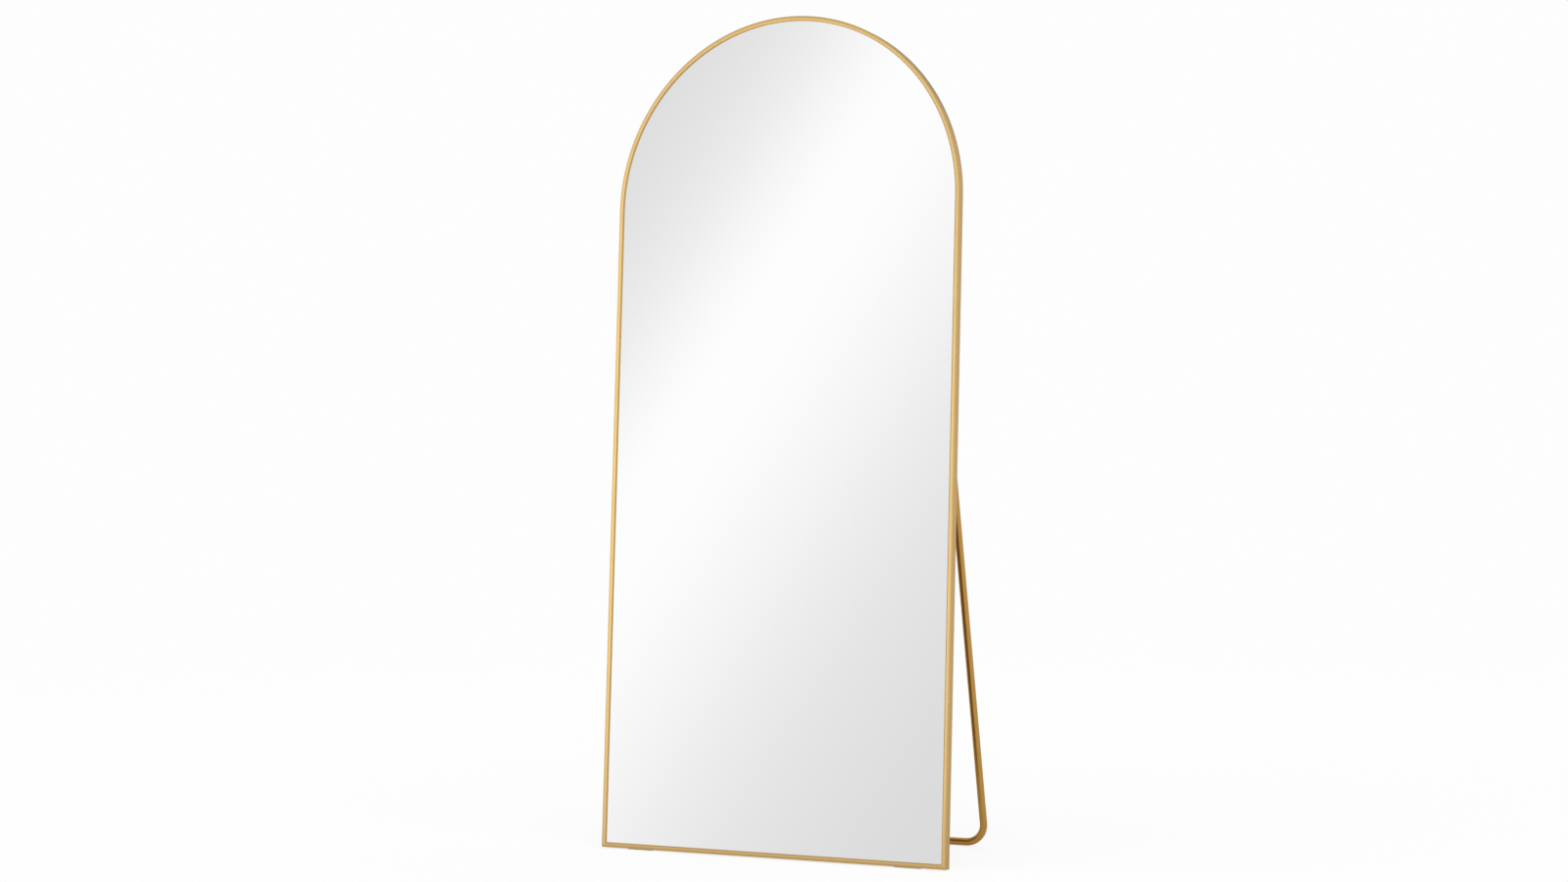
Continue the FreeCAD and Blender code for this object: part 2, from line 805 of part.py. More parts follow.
def floor_sleeve(name, side):
    """A rubber sleeve on the floor run that stops the stand sliding."""
    body = new_body(f"floor_sleeve_{name}")
    middle = side * (leg_x - size.bend_radius - size.sleeve_inset - size.sleeve_length / 2)
    section = sketch_on(body, "YZ_Plane", "sleeve_section", middle)
    circle(section, 0, -leg_length, sleeve_radius)
    circle(section, 0, -leg_length, tube_radius)
    pad(body, section, size.sleeve_length, midplane=True)
    stand_at_pivot(body)


# ---------------------------------------------------------------- build, test and write

def build():
    arch_frame()
    bottom_rail()
    corner_key_screws()
    glazing()
    crossbar()
    bracket_screws()
    hinge_nuts()
    hinge_washers()
    hanger_screws()
    fold_bumpers()
    stand_tube()
    for name, side in SIDES:
        corner_key(name, side)
        hinge_bracket(name, side)
        hinge_bolt(name, side)
        hanger_plate(name, side)
        floor_pad(name, side)
        pivot_bush(name, side)
        tube_plug(name, side)
        floor_sleeve(name, side)
    document.recompute()


def test():
    """Stop if any feature failed or any sub-part has no valid solid."""
    for item in document.Objects:
        if "Invalid" in item.State or "Error" in item.State:
            raise RuntimeError(f"{item.Name} failed: {item.State}")
    for part in parts:
        shape = part.Shape
        if shape.isNull() or not shape.isValid() or not shape.Solids:
            raise RuntimeError(f"{part.Label} has no valid solid")


def report():
    for part in parts:
        solids = len(part.Shape.Solids)
        print(f"{part.Label:22s} {solids:2d} solids {part.Shape.Volume:12.1f} mm3")
    run = (leg_x - size.bend_radius) * 2
    path = (leg_length + size.heel_length - size.bend_radius) * 2 + size.bend_radius * math.pi + run
    section = (tube_radius * tube_radius - bore_radius * bore_radius) * math.pi
    print(f"stand tube by its section and length: {path.number * section.number:.1f} mm3")
    print(f"lower back edge of the rail at y = {heel_line.number:.4f} mm")
    print(f"pivot at y = {pivot_y.number:.4f}, z = {pivot_up.number:.4f} mm")
    print(f"leg {leg_length.number:.4f} mm from the pivot to the floor run's axis")


def write():
    os.makedirs("parts", exist_ok=True)
    for part in parts:
        part.Shape.exportStep(f"parts/{part.Label}.step")


build()
test()
report()
write()
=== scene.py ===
# %% [markdown]
# # A leaning floor mirror, dressed in Blender
#
# The object is a tall arched mirror in a slim gold frame. It stands on the floor and leans back on a
# stand bent from one steel tube, which folds against its back. The CAD model holds every size and joint.
# This notebook gives each piece the shape and the finish that the eye expects: first the tools, then the
# pieces one by one, then the studio.

# %% Load the part
import json
import math
from functools import partial

import bmesh
import bpy
from mathutils import Matrix, Vector


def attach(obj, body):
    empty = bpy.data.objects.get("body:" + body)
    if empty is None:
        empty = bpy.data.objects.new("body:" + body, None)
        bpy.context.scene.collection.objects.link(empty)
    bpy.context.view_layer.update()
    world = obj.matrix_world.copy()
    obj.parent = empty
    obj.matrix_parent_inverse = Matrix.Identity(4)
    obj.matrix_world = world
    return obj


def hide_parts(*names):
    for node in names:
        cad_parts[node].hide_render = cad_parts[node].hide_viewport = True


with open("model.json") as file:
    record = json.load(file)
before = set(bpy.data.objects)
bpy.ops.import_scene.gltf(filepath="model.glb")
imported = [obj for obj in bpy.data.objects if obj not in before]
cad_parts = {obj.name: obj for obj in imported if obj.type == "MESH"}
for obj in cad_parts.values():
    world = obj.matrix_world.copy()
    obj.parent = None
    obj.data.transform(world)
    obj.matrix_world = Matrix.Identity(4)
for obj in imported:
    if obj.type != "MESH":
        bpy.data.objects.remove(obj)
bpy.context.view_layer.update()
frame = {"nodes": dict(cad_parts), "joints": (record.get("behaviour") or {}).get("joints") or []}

MM = 0.001

# %% [markdown]
# ## Two benches
#
# A maker cuts and joins the frame flat on a bench, and bends the stand flat on another. Drawing a piece
# that leans is hard, and drawing it flat is easy, so both are drawn flat here: X to the right, Y up the
# piece, Z out of its front. A matrix for each bench then stands the piece up and tilts it to where the
# CAD model has it. The tilt of the glass is a given, and the stand's follows from it, because the folded
# stand lies along the back.

# %% The two benches
LEAN = math.radians(4.0)
(FOLD,) = frame["joints"]
SPLAY = math.radians(FOLD["range_deg"][1]) - LEAN
UPRIGHT = Matrix.Rotation(math.radians(90), 4, "X")
MIRROR_BENCH = Matrix.Rotation(-LEAN, 4, "X") @ UPRIGHT
STAND_BENCH = Matrix.Rotation(SPLAY, 4, "X") @ UPRIGHT
PIVOT = STAND_BENCH.inverted() @ Vector(FOLD["pos_m"])


def islands(mesh):
    """The separate solids of a CAD mesh, each a list of points. A copy's triangles are joined first."""
    joined = bmesh.new()
    joined.from_mesh(mesh)
    bmesh.ops.remove_doubles(joined, verts=joined.verts, dist=0.001 * MM)
    unseen = set(joined.verts)
    found = []
    while unseen:
        waiting = [unseen.pop()]
        points = []
        while waiting:
            vertex = waiting.pop()
            points.append(vertex.co.copy())
            near = {edge.other_vert(vertex) for edge in vertex.link_edges} & unseen
            unseen -= near
            waiting.extend(near)
        found.append(points)
    joined.free()
    return found


def box(points):
    """The lowest and highest corner of some points."""
    return Vector(map(min, zip(*points))), Vector(map(max, zip(*points)))


def boxes_on(bench, node):
    """The box of each solid of a CAD node on that bench, from left to right and from low to high."""
    turned = bench.inverted()
    found = [box([turned @ point for point in points]) for points in islands(frame["nodes"][node].data)]
    return sorted(found, key=lambda corners: (round(corners[0].x, 4), corners[0].y))


def box_on(bench, node):
    """The box round all of a CAD node, measured along that bench."""
    return box([corner for pair in boxes_on(bench, node) for corner in pair])


FRAME_LOW, FRAME_HIGH = box_on(MIRROR_BENCH, "arch_frame")
BOARD_BACK = box_on(MIRROR_BENCH, "backboard")[0].z
GLASS_FRONT = box_on(MIRROR_BENCH, "mirror_glass")[1].z
TUBE_LOW, TUBE_HIGH = box_on(STAND_BENCH, "stand_tube")
HALF_WIDTH = FRAME_HIGH.x
print("frame, mm:", [round(size / MM, 2) for size in FRAME_HIGH - FRAME_LOW])

# %% [markdown]
# ## Node trees written as formulas
#
# Finishes and sweeps are node trees. Placing each Math node by hand hides the formula, so one small class
# wraps an output socket and lets Python's own operators add the nodes. One function adds any other node:
# its kind, its settings and what goes into its sockets, by name or by number. Both work in shader trees
# and in geometry trees.

# %% Wires between nodes
class Wire:
    """An output socket of a node tree. Arithmetic on it adds Math nodes."""

    def __init__(self, socket):
        self.socket = socket

    def beside(self, output):
        """Another output of the same node."""
        return Wire(self.socket.node.outputs[output])

    def maths(self, operation, *terms):
        settings = {"operation": operation}
        return add_node(self.socket.id_data, "ShaderNodeMath", settings, dict(enumerate(terms)))

    def __add__(self, other):
        return self.maths("ADD", self, other)

    def __sub__(self, other):
        return self.maths("SUBTRACT", self, other)

    def __rsub__(self, other):
        return self.maths("SUBTRACT", other, self)

    def __mul__(self, other):
        return self.maths("MULTIPLY", self, other)

    def __truediv__(self, other):
        return self.maths("DIVIDE", self, other)

    def __mod__(self, period):
        return self.maths("FLOORED_MODULO", self, period)

    def __abs__(self):
        return self.maths("ABSOLUTE", self)

    __radd__ = __add__
    __rmul__ = __mul__

    def between(self, low, high):
        """0 below low, 1 above high, and a smooth step from one to the other."""
        settings = {"interpolation_type": "SMOOTHSTEP"}
        inputs = {"Value": self, "From Min": low, "From Max": high}
        return add_node(self.socket.id_data, "ShaderNodeMapRange", settings, inputs)


def add_node(tree, kind, settings=None, inputs=None, output=0):
    """Adds a node, sets it, feeds its inputs with wires or values, and gives one output as a wire."""
    node = tree.nodes.new(kind)
    for name, setting in (settings or {}).items():
        if name == "stops":
            set_ramp(node.color_ramp, setting)
        else:
            setattr(node, name, setting)
    for name, value in (inputs or {}).items():
        if isinstance(value, Wire):
            tree.links.new(value.socket, node.inputs[name])
        else:
            node.inputs[name].default_value = value
    return Wire(node.outputs[output]) if node.outputs else None


def set_ramp(ramp, stops):
    """Gives a colour ramp its stops, each a position and a grey level, and a smooth curve through them."""
    ramp.interpolation = "CARDINAL"
    ramp.elements.remove(ramp.elements[-1])
    for position, level in stops[1:]:
        ramp.elements.new(position)
    for element, (position, level) in zip(ramp.elements, stops):
        element.color = (level, level, level, 1.0)


# %% [markdown]
# ## Trees for geometry
#
# A geometry tree has named inputs, as a jig has settings. The sockets are made from a plain table, and
# the modifier is set by each socket's identifier before Blender first works it out. The result is then
# frozen into a plain mesh, stood up from its bench, and tied to the body it moves with.

# %% Geometry tools
SOCKET_KINDS = {
    float: "NodeSocketFloat",
    int: "NodeSocketInt",
    tuple: "NodeSocketVector",
    "object": "NodeSocketObject",
    "material": "NodeSocketMaterial",
}


def new_geometry_tree(name, inputs):
    """A tree with geometry in and out and the named inputs. Gives it and a wire for each input."""
    tree = bpy.data.node_groups.new(name, "GeometryNodeTree")
    tree.interface.new_socket("Geometry", in_out="INPUT", socket_type="NodeSocketGeometry")
    tree.interface.new_socket("Geometry", in_out="OUTPUT", socket_type="NodeSocketGeometry")
    for label, default in inputs.items():
        kind = default if isinstance(default, str) else type(default)
        socket = tree.interface.new_socket(label, in_out="INPUT", socket_type=SOCKET_KINDS[kind])
        if not isinstance(default, str):
            socket.default_value = default
    first = add_node(tree, "NodeGroupInput")
    return tree, {label: first.beside(label) for label in ("Geometry", *inputs)}


def close_geometry_tree(tree, geometry, material):
    """Ends a tree: copies become real, the material is set, and the geometry goes out."""
    real = add_node(tree, "GeometryNodeRealizeInstances", None, {"Geometry": geometry})
    dressed = add_node(tree, "GeometryNodeSetMaterial", None, {"Geometry": real, "Material": material})
    add_node(tree, "NodeGroupOutput", None, {"Geometry": dressed})


def line_mesh(name, *lines, closed=False):
    """One object of lines for a tree to read, each a row of points joined by edges."""
    points, edges = [], []
    for line in lines:
        first, count = len(points), len(line)
        points += [Vector(point).to_3d() for point in line]
        steps = range(count if closed else count - 1)
        edges += [(first + step, first + (step + 1) % count) for step in steps]
    mesh = bpy.data.meshes.new(name)
    mesh.from_pydata(points, edges, [])
    return new_object(name, mesh)


def new_object(name, data):
    """Puts a mesh or a camera in the scene. A mesh still in mesh code is turned into a plain one first."""
    if isinstance(data, bmesh.types.BMesh):
        drawn, data = data, bpy.data.meshes.new(name)
        drawn.to_mesh(data)
        drawn.free()
    made = bpy.data.objects.new(name, data)
    bpy.context.scene.collection.objects.link(made)
    return made


def grow(base, tree, name, **settings):
    """Runs a tree on a base object and gives the result as a new plain object. The base is used up."""
    modifier = base.modifiers.new(tree.name, "NODES")
    modifier.node_group = tree
    for item in tree.interface.items_tree:
        key = item.name.lower().replace(" ", "_")
        if item.in_out == "INPUT" and key in settings:
            modifier[item.identifier] = settings[key]
    mesh = frozen_mesh(base)
    bpy.data.objects.remove(base)
    mesh.name = name
    return new_object(name, mesh)


def frozen_mesh(source):
    """The mesh of an object with its modifiers worked out."""
    bpy.context.view_layer.update()
    seen = bpy.context.evaluated_depsgraph_get()
    result = source.evaluated_get(seen)
    return bpy.data.meshes.new_from_object(result, preserve_all_data_layers=True, depsgraph=seen)


def freeze(piece):
    """Makes final what the modifiers of a piece do."""
    mesh = frozen_mesh(piece)
    piece.modifiers.clear()
    piece.data = mesh
    return piece


def carve(piece, other, operation="DIFFERENCE"):
    """Cuts another piece's shape out of a piece, or with UNION adds it. The other piece is used up."""
    modifier = piece.modifiers.new("carve", "BOOLEAN")
    modifier.operation = operation
    modifier.object = other
    modifier.solver = "EXACT"
    freeze(piece)
    bpy.data.objects.remove(other)
    return piece


SHARP = math.radians(35)
SWEEP_NOTES = ("along", "heading", "end", "inward", "around")


def finish_piece(piece, bench, body, slot, *stands_for):
    """Stands a piece up from its bench, smooths it, ties it to its body and hides its CAD nodes. The slot
    is not used.
    """
    mesh = piece.data
    mesh.transform(bench)
    for name in SWEEP_NOTES:
        if name in mesh.attributes:
            mesh.attributes.remove(mesh.attributes[name])
    if not mesh.has_custom_normals:
        mesh.shade_smooth()
        mesh.set_sharp_from_angle(angle=SHARP)
    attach(piece, body)
    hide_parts(*stands_for)
    print(f"{piece.name}: {len(mesh.polygons)} faces")
    return piece


# %% [markdown]
# ## What a finish is made of
#
# Each finish is a material with one Principled shader. Patterns are read from the object's own
# coordinates, in metres, so a grain of half a millimetre is half a millimetre everywhere. Only the
# frame's brushing follows its arch, and so it reads the UV map that its sweep makes.

# %% A new finish
class Finish:
    """A material in the making: it adds nodes, and keeps the place that patterns are read from."""

    def __init__(self, name):
        self.material = bpy.data.materials.new(name)
        self.material.use_nodes = True
        self.tree = self.material.node_tree
        self.tree.nodes.clear()
        self.place = self.add("ShaderNodeTexCoord", output="Object")

    def add(self, kind, settings=None, inputs=None, output=0):
        return add_node(self.tree, kind, settings, inputs, output)

    def stretched(self, scale, place=None):
        """The place with each axis multiplied: small numbers draw a pattern out along that axis."""
        inputs = {0: place or self.place, 1: scale}
        return self.add("ShaderNodeVectorMath", {"operation": "MULTIPLY"}, inputs)

    def noise(self, scale, detail=3.0, place=None):
        """Smooth noise from 0 to 1, with scale in waves per metre."""
        inputs = {"Vector": place or self.place, "Scale": scale, "Detail": detail}
        return self.add("ShaderNodeTexNoise", None, inputs)

    def blend(self, share, first, second):
        """A colour between two colours."""
        settings = {"data_type": "RGBA"}
        return self.add("ShaderNodeMix", settings, {0: share, 6: first, 7: second}, 2)

    def bump(self, height, depth, strength=1.0):
        """A normal bent by a height that runs from 0 to 1 and stands for that depth in metres."""
        inputs = {"Height": height, "Distance": depth, "Strength": strength}
        return self.add("ShaderNodeBump", None, inputs)

    def close(self, colour, roughness, normal=None, **constants):
        """Ends the finish with its Principled shader. Constants are set on the shader's own sockets."""
        inputs = {"Base Color": colour, "Roughness": roughness}
        if normal:
            inputs["Normal"] = normal
        for name, value in constants.items():
            inputs[name.replace("_", " ").title().replace("Ior", "IOR")] = value
        shader = self.add("ShaderNodeBsdfPrincipled", None, inputs)
        self.add("ShaderNodeOutputMaterial", None, {"Surface": shader})
        return self.material


# %% [markdown]
# ## The finish of the frame: brushed pale gold
#
# The frame is an aluminium extrusion. It is brushed along its length and then anodised a pale gold.
# Brushing leaves fine lines, so a noise is drawn out along the frame and squeezed across it, and moves
# the roughness, the colour and the normal a little. A slow noise adds the cloudiness that an anodising
# bath leaves.

# %% Brushed gold
GOLD = (0.92, 0.63, 0.265, 1.0)
DEEP_GOLD = (0.87, 0.57, 0.21, 1.0)


def brushed_gold():
    finish = Finish("brushed_gold")
    along_frame = finish.add("ShaderNodeUVMap", {"uv_map": "UVMap"})
    lines = finish.noise(scale=1.0, detail=4.0, place=finish.stretched((9.0, 5200.0, 1.0), along_frame))
    clouds = finish.noise(scale=14.0, detail=2.0)
    colour = finish.blend(lines * 0.6 + clouds * 0.4, GOLD, DEEP_GOLD)
    roughness = 0.24 + lines * 0.1 + clouds * 0.06
    scratches = finish.bump(lines, depth=0.02 * MM, strength=0.5)
    return finish.close(colour, roughness, scratches, metallic=1.0)


BRUSHED_GOLD = brushed_gold()

# %% [markdown]
# ## The frame: one section, swept twice
#
# The sides and the arch are one length of extrusion bent round, and the bottom rail is a straight length
# of it, mitred into both sides. In Blender a bevelled curve could do it, but its ends are cut square.
# Here a geometry tree sweeps the section along a path of four points, whose corners it rounds to the bend
# radius, and then slides the points of each end ring along the path by as much as they lie inwards. That
# is exactly what a mitre saw does.

# %% The sweep tree
def sweep_tree():
    sizes = {"Section": "object", "Bend radius": 0.0, "Bend steps": 8, "Edge radius": 0.0, "Edge steps": 3}
    cuts = {"Mitre slope": 0.0, "Mitre gap": 0.0, "Material": "material"}
    tree, wire = new_geometry_tree("sweep", {**sizes, **cuts})
    add = partial(add_node, tree)

    def kept(geometry, name, kind, value, domain="POINT"):
        settings = {"data_type": kind, "domain": domain}
        inputs = {"Geometry": geometry, "Name": name, "Value": value}
        return add("GeometryNodeStoreNamedAttribute", settings, inputs)

    def recalled(name, kind):
        return add("GeometryNodeInputNamedAttribute", {"data_type": kind}, {"Name": name})

    def rounded(mesh, radius, steps):
        curve = add("GeometryNodeMeshToCurve", None, {"Mesh": mesh})
        inputs = {"Curve": curve, "Radius": radius, "Count": steps, "Limit Radius": True}
        return add("GeometryNodeFilletCurve", {"mode": "POLY"}, inputs)

    path = rounded(wire["Geometry"], wire["Bend radius"], wire["Bend steps"])
    path = add("GeometryNodeSetCurveNormal", {"mode": "Z_UP"}, {"Curve": path})
    first = add("GeometryNodeCurveEndpointSelection", None, {"Start Size": 1, "End Size": 0})
    last = add("GeometryNodeCurveEndpointSelection", None, {"Start Size": 0, "End Size": 1})
    path = kept(path, "along", "FLOAT", add("GeometryNodeSplineParameter", output="Length"))
    path = kept(path, "heading", "FLOAT_VECTOR", add("GeometryNodeInputTangent"))
    path = kept(path, "end", "FLOAT", first - last)

    drawn = add("GeometryNodeObjectInfo", None, {"Object": wire["Section"]}, "Geometry")
    section = rounded(drawn, wire["Edge radius"], wire["Edge steps"])
    across = add("ShaderNodeSeparateXYZ", None, {0: add("GeometryNodeInputPosition")})
    section = kept(section, "inward", "FLOAT", 0.0 - across)
    section = kept(section, "around", "FLOAT", across + across.beside(1))

    skin = add("GeometryNodeCurveToMesh", None, {"Curve": path, "Profile Curve": section})
    saw_cut = recalled("inward", "FLOAT") * wire["Mitre slope"] + wire["Mitre gap"]
    slide = {0: recalled("heading", "FLOAT_VECTOR"), "Scale": recalled("end", "FLOAT") * saw_cut}
    offset = add("ShaderNodeVectorMath", {"operation": "SCALE"}, slide)
    skin = add("GeometryNodeSetPosition", None, {"Geometry": skin, "Offset": offset})
    unrolled = {0: recalled("along", "FLOAT"), 1: recalled("around", "FLOAT")}
    unrolled = add("ShaderNodeCombineXYZ", None, unrolled)
    skin = kept(skin, "UVMap", "FLOAT2", unrolled, "CORNER")
    close_geometry_tree(tree, skin, wire["Material"])
    return tree


SWEEP = sweep_tree()


def cap_ends(piece):
    """Closes the two open ends of a swept piece, also round a hollow, and turns all faces outwards."""
    mesh = bmesh.new()
    mesh.from_mesh(piece.data)
    open_edges = [edge for edge in mesh.edges if edge.is_boundary]
    for on_right in (True, False):
        ring = [edge for edge in open_edges if (edge.verts[0].co.x > 0) == on_right]
        bmesh.ops.triangle_fill(mesh, edges=ring, use_beauty=True)
    bmesh.ops.recalc_face_normals(mesh, faces=mesh.faces)
    mesh.to_mesh(piece.data)
    mesh.free()
    return piece


# %% Draw the section and sweep it
FACE_WIDTH = 10.5 * MM
OUTER_WALL = 1.4 * MM
CHAMBER_WALL = 1.2 * MM
LIP_BEVEL_WIDTH = 2.5 * MM
LIP_BEVEL_DROP = 1.0 * MM
EDGE_RADIUS = 0.35 * MM
MITRE_GAP = 0.06 * MM
ARCH_STEPS = 90
ARCH_SLACK = 0.1 * MM


def frame_section():
    """The extrusion's outline and its chamber, as distances inwards and forwards from its back edge."""
    depth = FRAME_HIGH.z - FRAME_LOW.z
    groove_back = BOARD_BACK - FRAME_LOW.z
    groove_front = GLASS_FRONT - FRAME_LOW.z
    outline = [
        (0, 0),
        (FACE_WIDTH, 0),
        (FACE_WIDTH, groove_back),
        (OUTER_WALL, groove_back),
        (OUTER_WALL, groove_front),
        (FACE_WIDTH, groove_front),
        (FACE_WIDTH, depth - LIP_BEVEL_DROP),
        (FACE_WIDTH - LIP_BEVEL_WIDTH, depth),
        (0, depth),
    ]
    near, far = CHAMBER_WALL, FACE_WIDTH - CHAMBER_WALL
    floor, roof = CHAMBER_WALL, groove_back - CHAMBER_WALL
    chamber = [(near, floor), (far, floor), (far, roof), (near, roof)]
    # The sweep lays X outwards and Y backwards, so both are turned round.
    lines = [[(-inwards, -forwards) for inwards, forwards in line] for line in (outline, chamber)]
    return line_mesh("frame_section", *lines, closed=True)


def swept_frame(name, corners):
    """A length of the extrusion along a path on the mirror's bench, mitred at both ends."""
    section = frame_section()
    piece = grow(
        line_mesh("path", [(x, y, FRAME_LOW.z) for x, y in corners]),
        SWEEP,
        name,
        section=section,
        bend_radius=HALF_WIDTH - ARCH_SLACK,
        bend_steps=ARCH_STEPS,
        edge_radius=EDGE_RADIUS,
        mitre_slope=1.0,
        mitre_gap=MITRE_GAP,
        material=BRUSHED_GOLD,
    )
    bpy.data.objects.remove(section)
    return cap_ends(piece)


left, right, low, high = -HALF_WIDTH, HALF_WIDTH, FRAME_LOW.y, FRAME_HIGH.y
arch = swept_frame("frame_arch", [(right, low), (right, high), (left, high), (left, low)])
rail = swept_frame("frame_rail", [(left, low), (right, low)])

# %% [markdown]
# ## Turned pieces
#
# Screws, bolts, washers, plugs and studs are round, and a lathe makes them: a half outline is turned
# round an axis. Blender's Screw modifier does this too, but a few lines of mesh code close the poles as
# well and need no settings. Each is drawn with its axis along Z and the side that shows upwards.

# %% A lathe
def arc(centre, radius, start, end, steps):
    """Points of an arc in the half outline's plane. Angles are in degrees, 0 outwards and 90 upwards."""
    angles = [math.radians(start + (end - start) * step / steps) for step in range(steps + 1)]
    return [(centre[0] + radius * math.cos(a), centre[1] + radius * math.sin(a)) for a in angles]


def circle(radius, sides):
    """Points round a circle."""
    angles = [2 * math.pi * step / sides for step in range(sides)]
    return [(radius * math.cos(angle), radius * math.sin(angle)) for angle in angles]


def turned(name, outline, steps=40, closed=False):
    """Turns a half outline of (radius, height) points round Z. It ends at both poles, or is closed."""
    mesh = bmesh.new()
    rings = []
    for x, y in circle(1.0, steps):
        rings.append([mesh.verts.new((r * x, r * y, height)) for r, height in outline])
    count = len(outline)
    for step in range(steps):
        here, there = rings[step], rings[(step + 1) % steps]
        for row in range(count if closed else count - 1):
            after = (row + 1) % count
            mesh.faces.new((here[row], there[row], there[after], here[after]))
    bmesh.ops.remove_doubles(mesh, verts=mesh.verts, dist=0.002 * MM)
    bmesh.ops.recalc_face_normals(mesh, faces=mesh.faces)
    return new_object(name, mesh)


# %% Punches for recesses and sockets
def prism(name, outline, low, high, taper=1.0):
    """A flat outline pulled up from one height to another, and wider at its top by the taper."""
    count = len(outline)
    points = [(x, y, low) for x, y in outline] + [(x * taper, y * taper, high) for x, y in outline]
    sides = [(i, (i + 1) % count, count + (i + 1) % count, count + i) for i in range(count)]
    ends = [tuple(reversed(range(count))), tuple(range(count, 2 * count))]
    made = bpy.data.meshes.new(name)
    made.from_pydata(points, [], sides + ends)
    return new_object(name, made)


def cross(arm, width):
    """The outline of a screwdriver's cross, with that reach and that width of its blades."""
    half = width / 2
    blade = [(arm, -half), (arm, half), (half, half)]
    outline = []
    for _ in range(4):
        outline += blade
        blade = [(-y, x) for x, y in blade]
    return outline


def hexagon(across_flats):
    """The outline of a hexagon with that distance across its flats."""
    return circle(across_flats / 2 / math.cos(math.pi / 6), 6)


# %% [markdown]
# ## Copies on points
#
# One screw is made with care, and a geometry tree then puts a copy at each place where the CAD model has
# one, turned by a chance amount as a hand leaves it. Blender's own duplication would do for a render, but
# the export needs real meshes, so the tree ends by making the copies real.

# %% The tree that places copies
AS_DRAWN = (0.0, 0.0, 0.0)
TO_THE_BACK = (math.pi, 0.0, 0.0)
TO_THE_LEFT = (0.0, -math.pi / 2, 0.0)
TO_THE_RIGHT = (0.0, math.pi / 2, 0.0)
TO_THE_TOP = (-math.pi / 2, 0.0, 0.0)
FULL_TURN = 2 * math.pi


def copies_tree():
    sizes = {"Part": "object", "Facing": AS_DRAWN, "Most turn": 0.0, "Seed": 0, "Material": "material"}
    tree, wire = new_geometry_tree("copies", sizes)
    add = partial(add_node, tree)
    part = add("GeometryNodeObjectInfo", None, {"Object": wire["Part"]}, "Geometry")
    chance = {3: wire["Most turn"], "Seed": wire["Seed"]}
    turn = add("FunctionNodeRandomValue", {"data_type": "FLOAT"}, chance, 1)
    spin = add("ShaderNodeCombineXYZ", None, {2: turn})
    placed = {"Points": wire["Geometry"], "Instance": part, "Rotation": wire["Facing"]}
    copies = add("GeometryNodeInstanceOnPoints", None, placed)
    copies = add("GeometryNodeRotateInstances", None, {"Instances": copies, "Rotation": spin})
    close_geometry_tree(tree, copies, wire["Material"])
    return tree


COPIES = copies_tree()


def put_copies(name, part, places, material, facing=TO_THE_BACK, most_turn=FULL_TURN, seed=1):
    """Copies of a part at some places on a bench, as one plain piece. The part is used up."""
    mesh = bpy.data.meshes.new("places")
    mesh.from_pydata(places, [], [])
    settings = {"facing": facing, "most_turn": most_turn, "seed": seed, "material": material}
    piece = grow(new_object("places", mesh), COPIES, name, part=part, **settings)
    bpy.data.objects.remove(part)
    return piece


def seats(bench, node, axis, top):
    """For each solid of a node, its middle across an axis and its lower or upper end along it."""
    places = []
    for low, high in boxes_on(bench, node):
        place = (low + high) / 2
        place[axis] = (high if top else low)[axis]
        places.append(place)
    return places


# %% [markdown]
# ## The finish of the screws: zinc plated steel
#
# Small fasteners are plated, which leaves a bright but slightly cloudy grey with fine tool marks. Noise
# at two sizes gives the clouds and the marks.

# %% Zinc plated steel
ZINC = (0.66, 0.66, 0.64, 1.0)
DULL_ZINC = (0.48, 0.49, 0.5, 1.0)


def zinc_plated():
    finish = Finish("zinc_plated")
    clouds = finish.noise(scale=420.0, detail=3.0)
    marks = finish.noise(scale=3800.0, detail=2.0)
    colour = finish.blend(clouds, ZINC, DULL_ZINC)
    roughness = 0.26 + clouds * 0.16 + marks * 0.06
    tool_marks = finish.bump(marks, depth=0.01 * MM, strength=0.4)
    return finish.close(colour, roughness, tool_marks, metallic=1.0)


ZINC_PLATED = zinc_plated()

# %% [markdown]
# ## Pan-head screws
#
# Twelve screws hold the bar and the hinge brackets, and four hold the hanging plates. Each has a domed
# head with a cross recess. The head is turned on the lathe and the recess is cut with a tapered cross, as
# a real punch does it.

# %% Pan-head screws
SCREW_RADIUS = 2.0 * MM
SCREW_HEAD_RADIUS = 3.5 * MM
SCREW_HEAD_HEIGHT = 2.2 * MM
SCREW_RIM = 0.7 * MM
SCREW_EDGE = 0.15 * MM
RECESS_ARM = 1.9 * MM
RECESS_WIDTH = 0.9 * MM
RECESS_DEPTH = 1.5 * MM
RECESS_FLARE = 1.4
RECESS_TOP = 3.0 * MM
ROUND_STEPS = 32
DOME_STEPS = 8


def dome(radius, top, rise):
    """The half outline of a dome that rises by that much from its rim to its top."""
    ball = (radius**2 + rise**2) / (2 * rise)
    rim = math.degrees(math.acos(radius / ball))
    return arc((0, top - ball), ball, rim, 90, DOME_STEPS)


def pan_screw(length):
    """A screw whose head sits on Z = 0, with that length below it."""
    outline = [
        (0, -length),
        (0.5 * SCREW_RADIUS, -length),
        (SCREW_RADIUS, -length + SCREW_RADIUS),
        (SCREW_RADIUS, 0),
        (SCREW_HEAD_RADIUS - SCREW_EDGE, 0),
        (SCREW_HEAD_RADIUS, SCREW_EDGE),
        *dome(SCREW_HEAD_RADIUS, SCREW_HEAD_HEIGHT, SCREW_HEAD_HEIGHT - SCREW_RIM),
    ]
    floor = SCREW_HEAD_HEIGHT - RECESS_DEPTH
    recess = prism("recess", cross(RECESS_ARM, RECESS_WIDTH), floor, RECESS_TOP, RECESS_FLARE)
    return carve(turned("pan_screw", outline, ROUND_STEPS), recess)


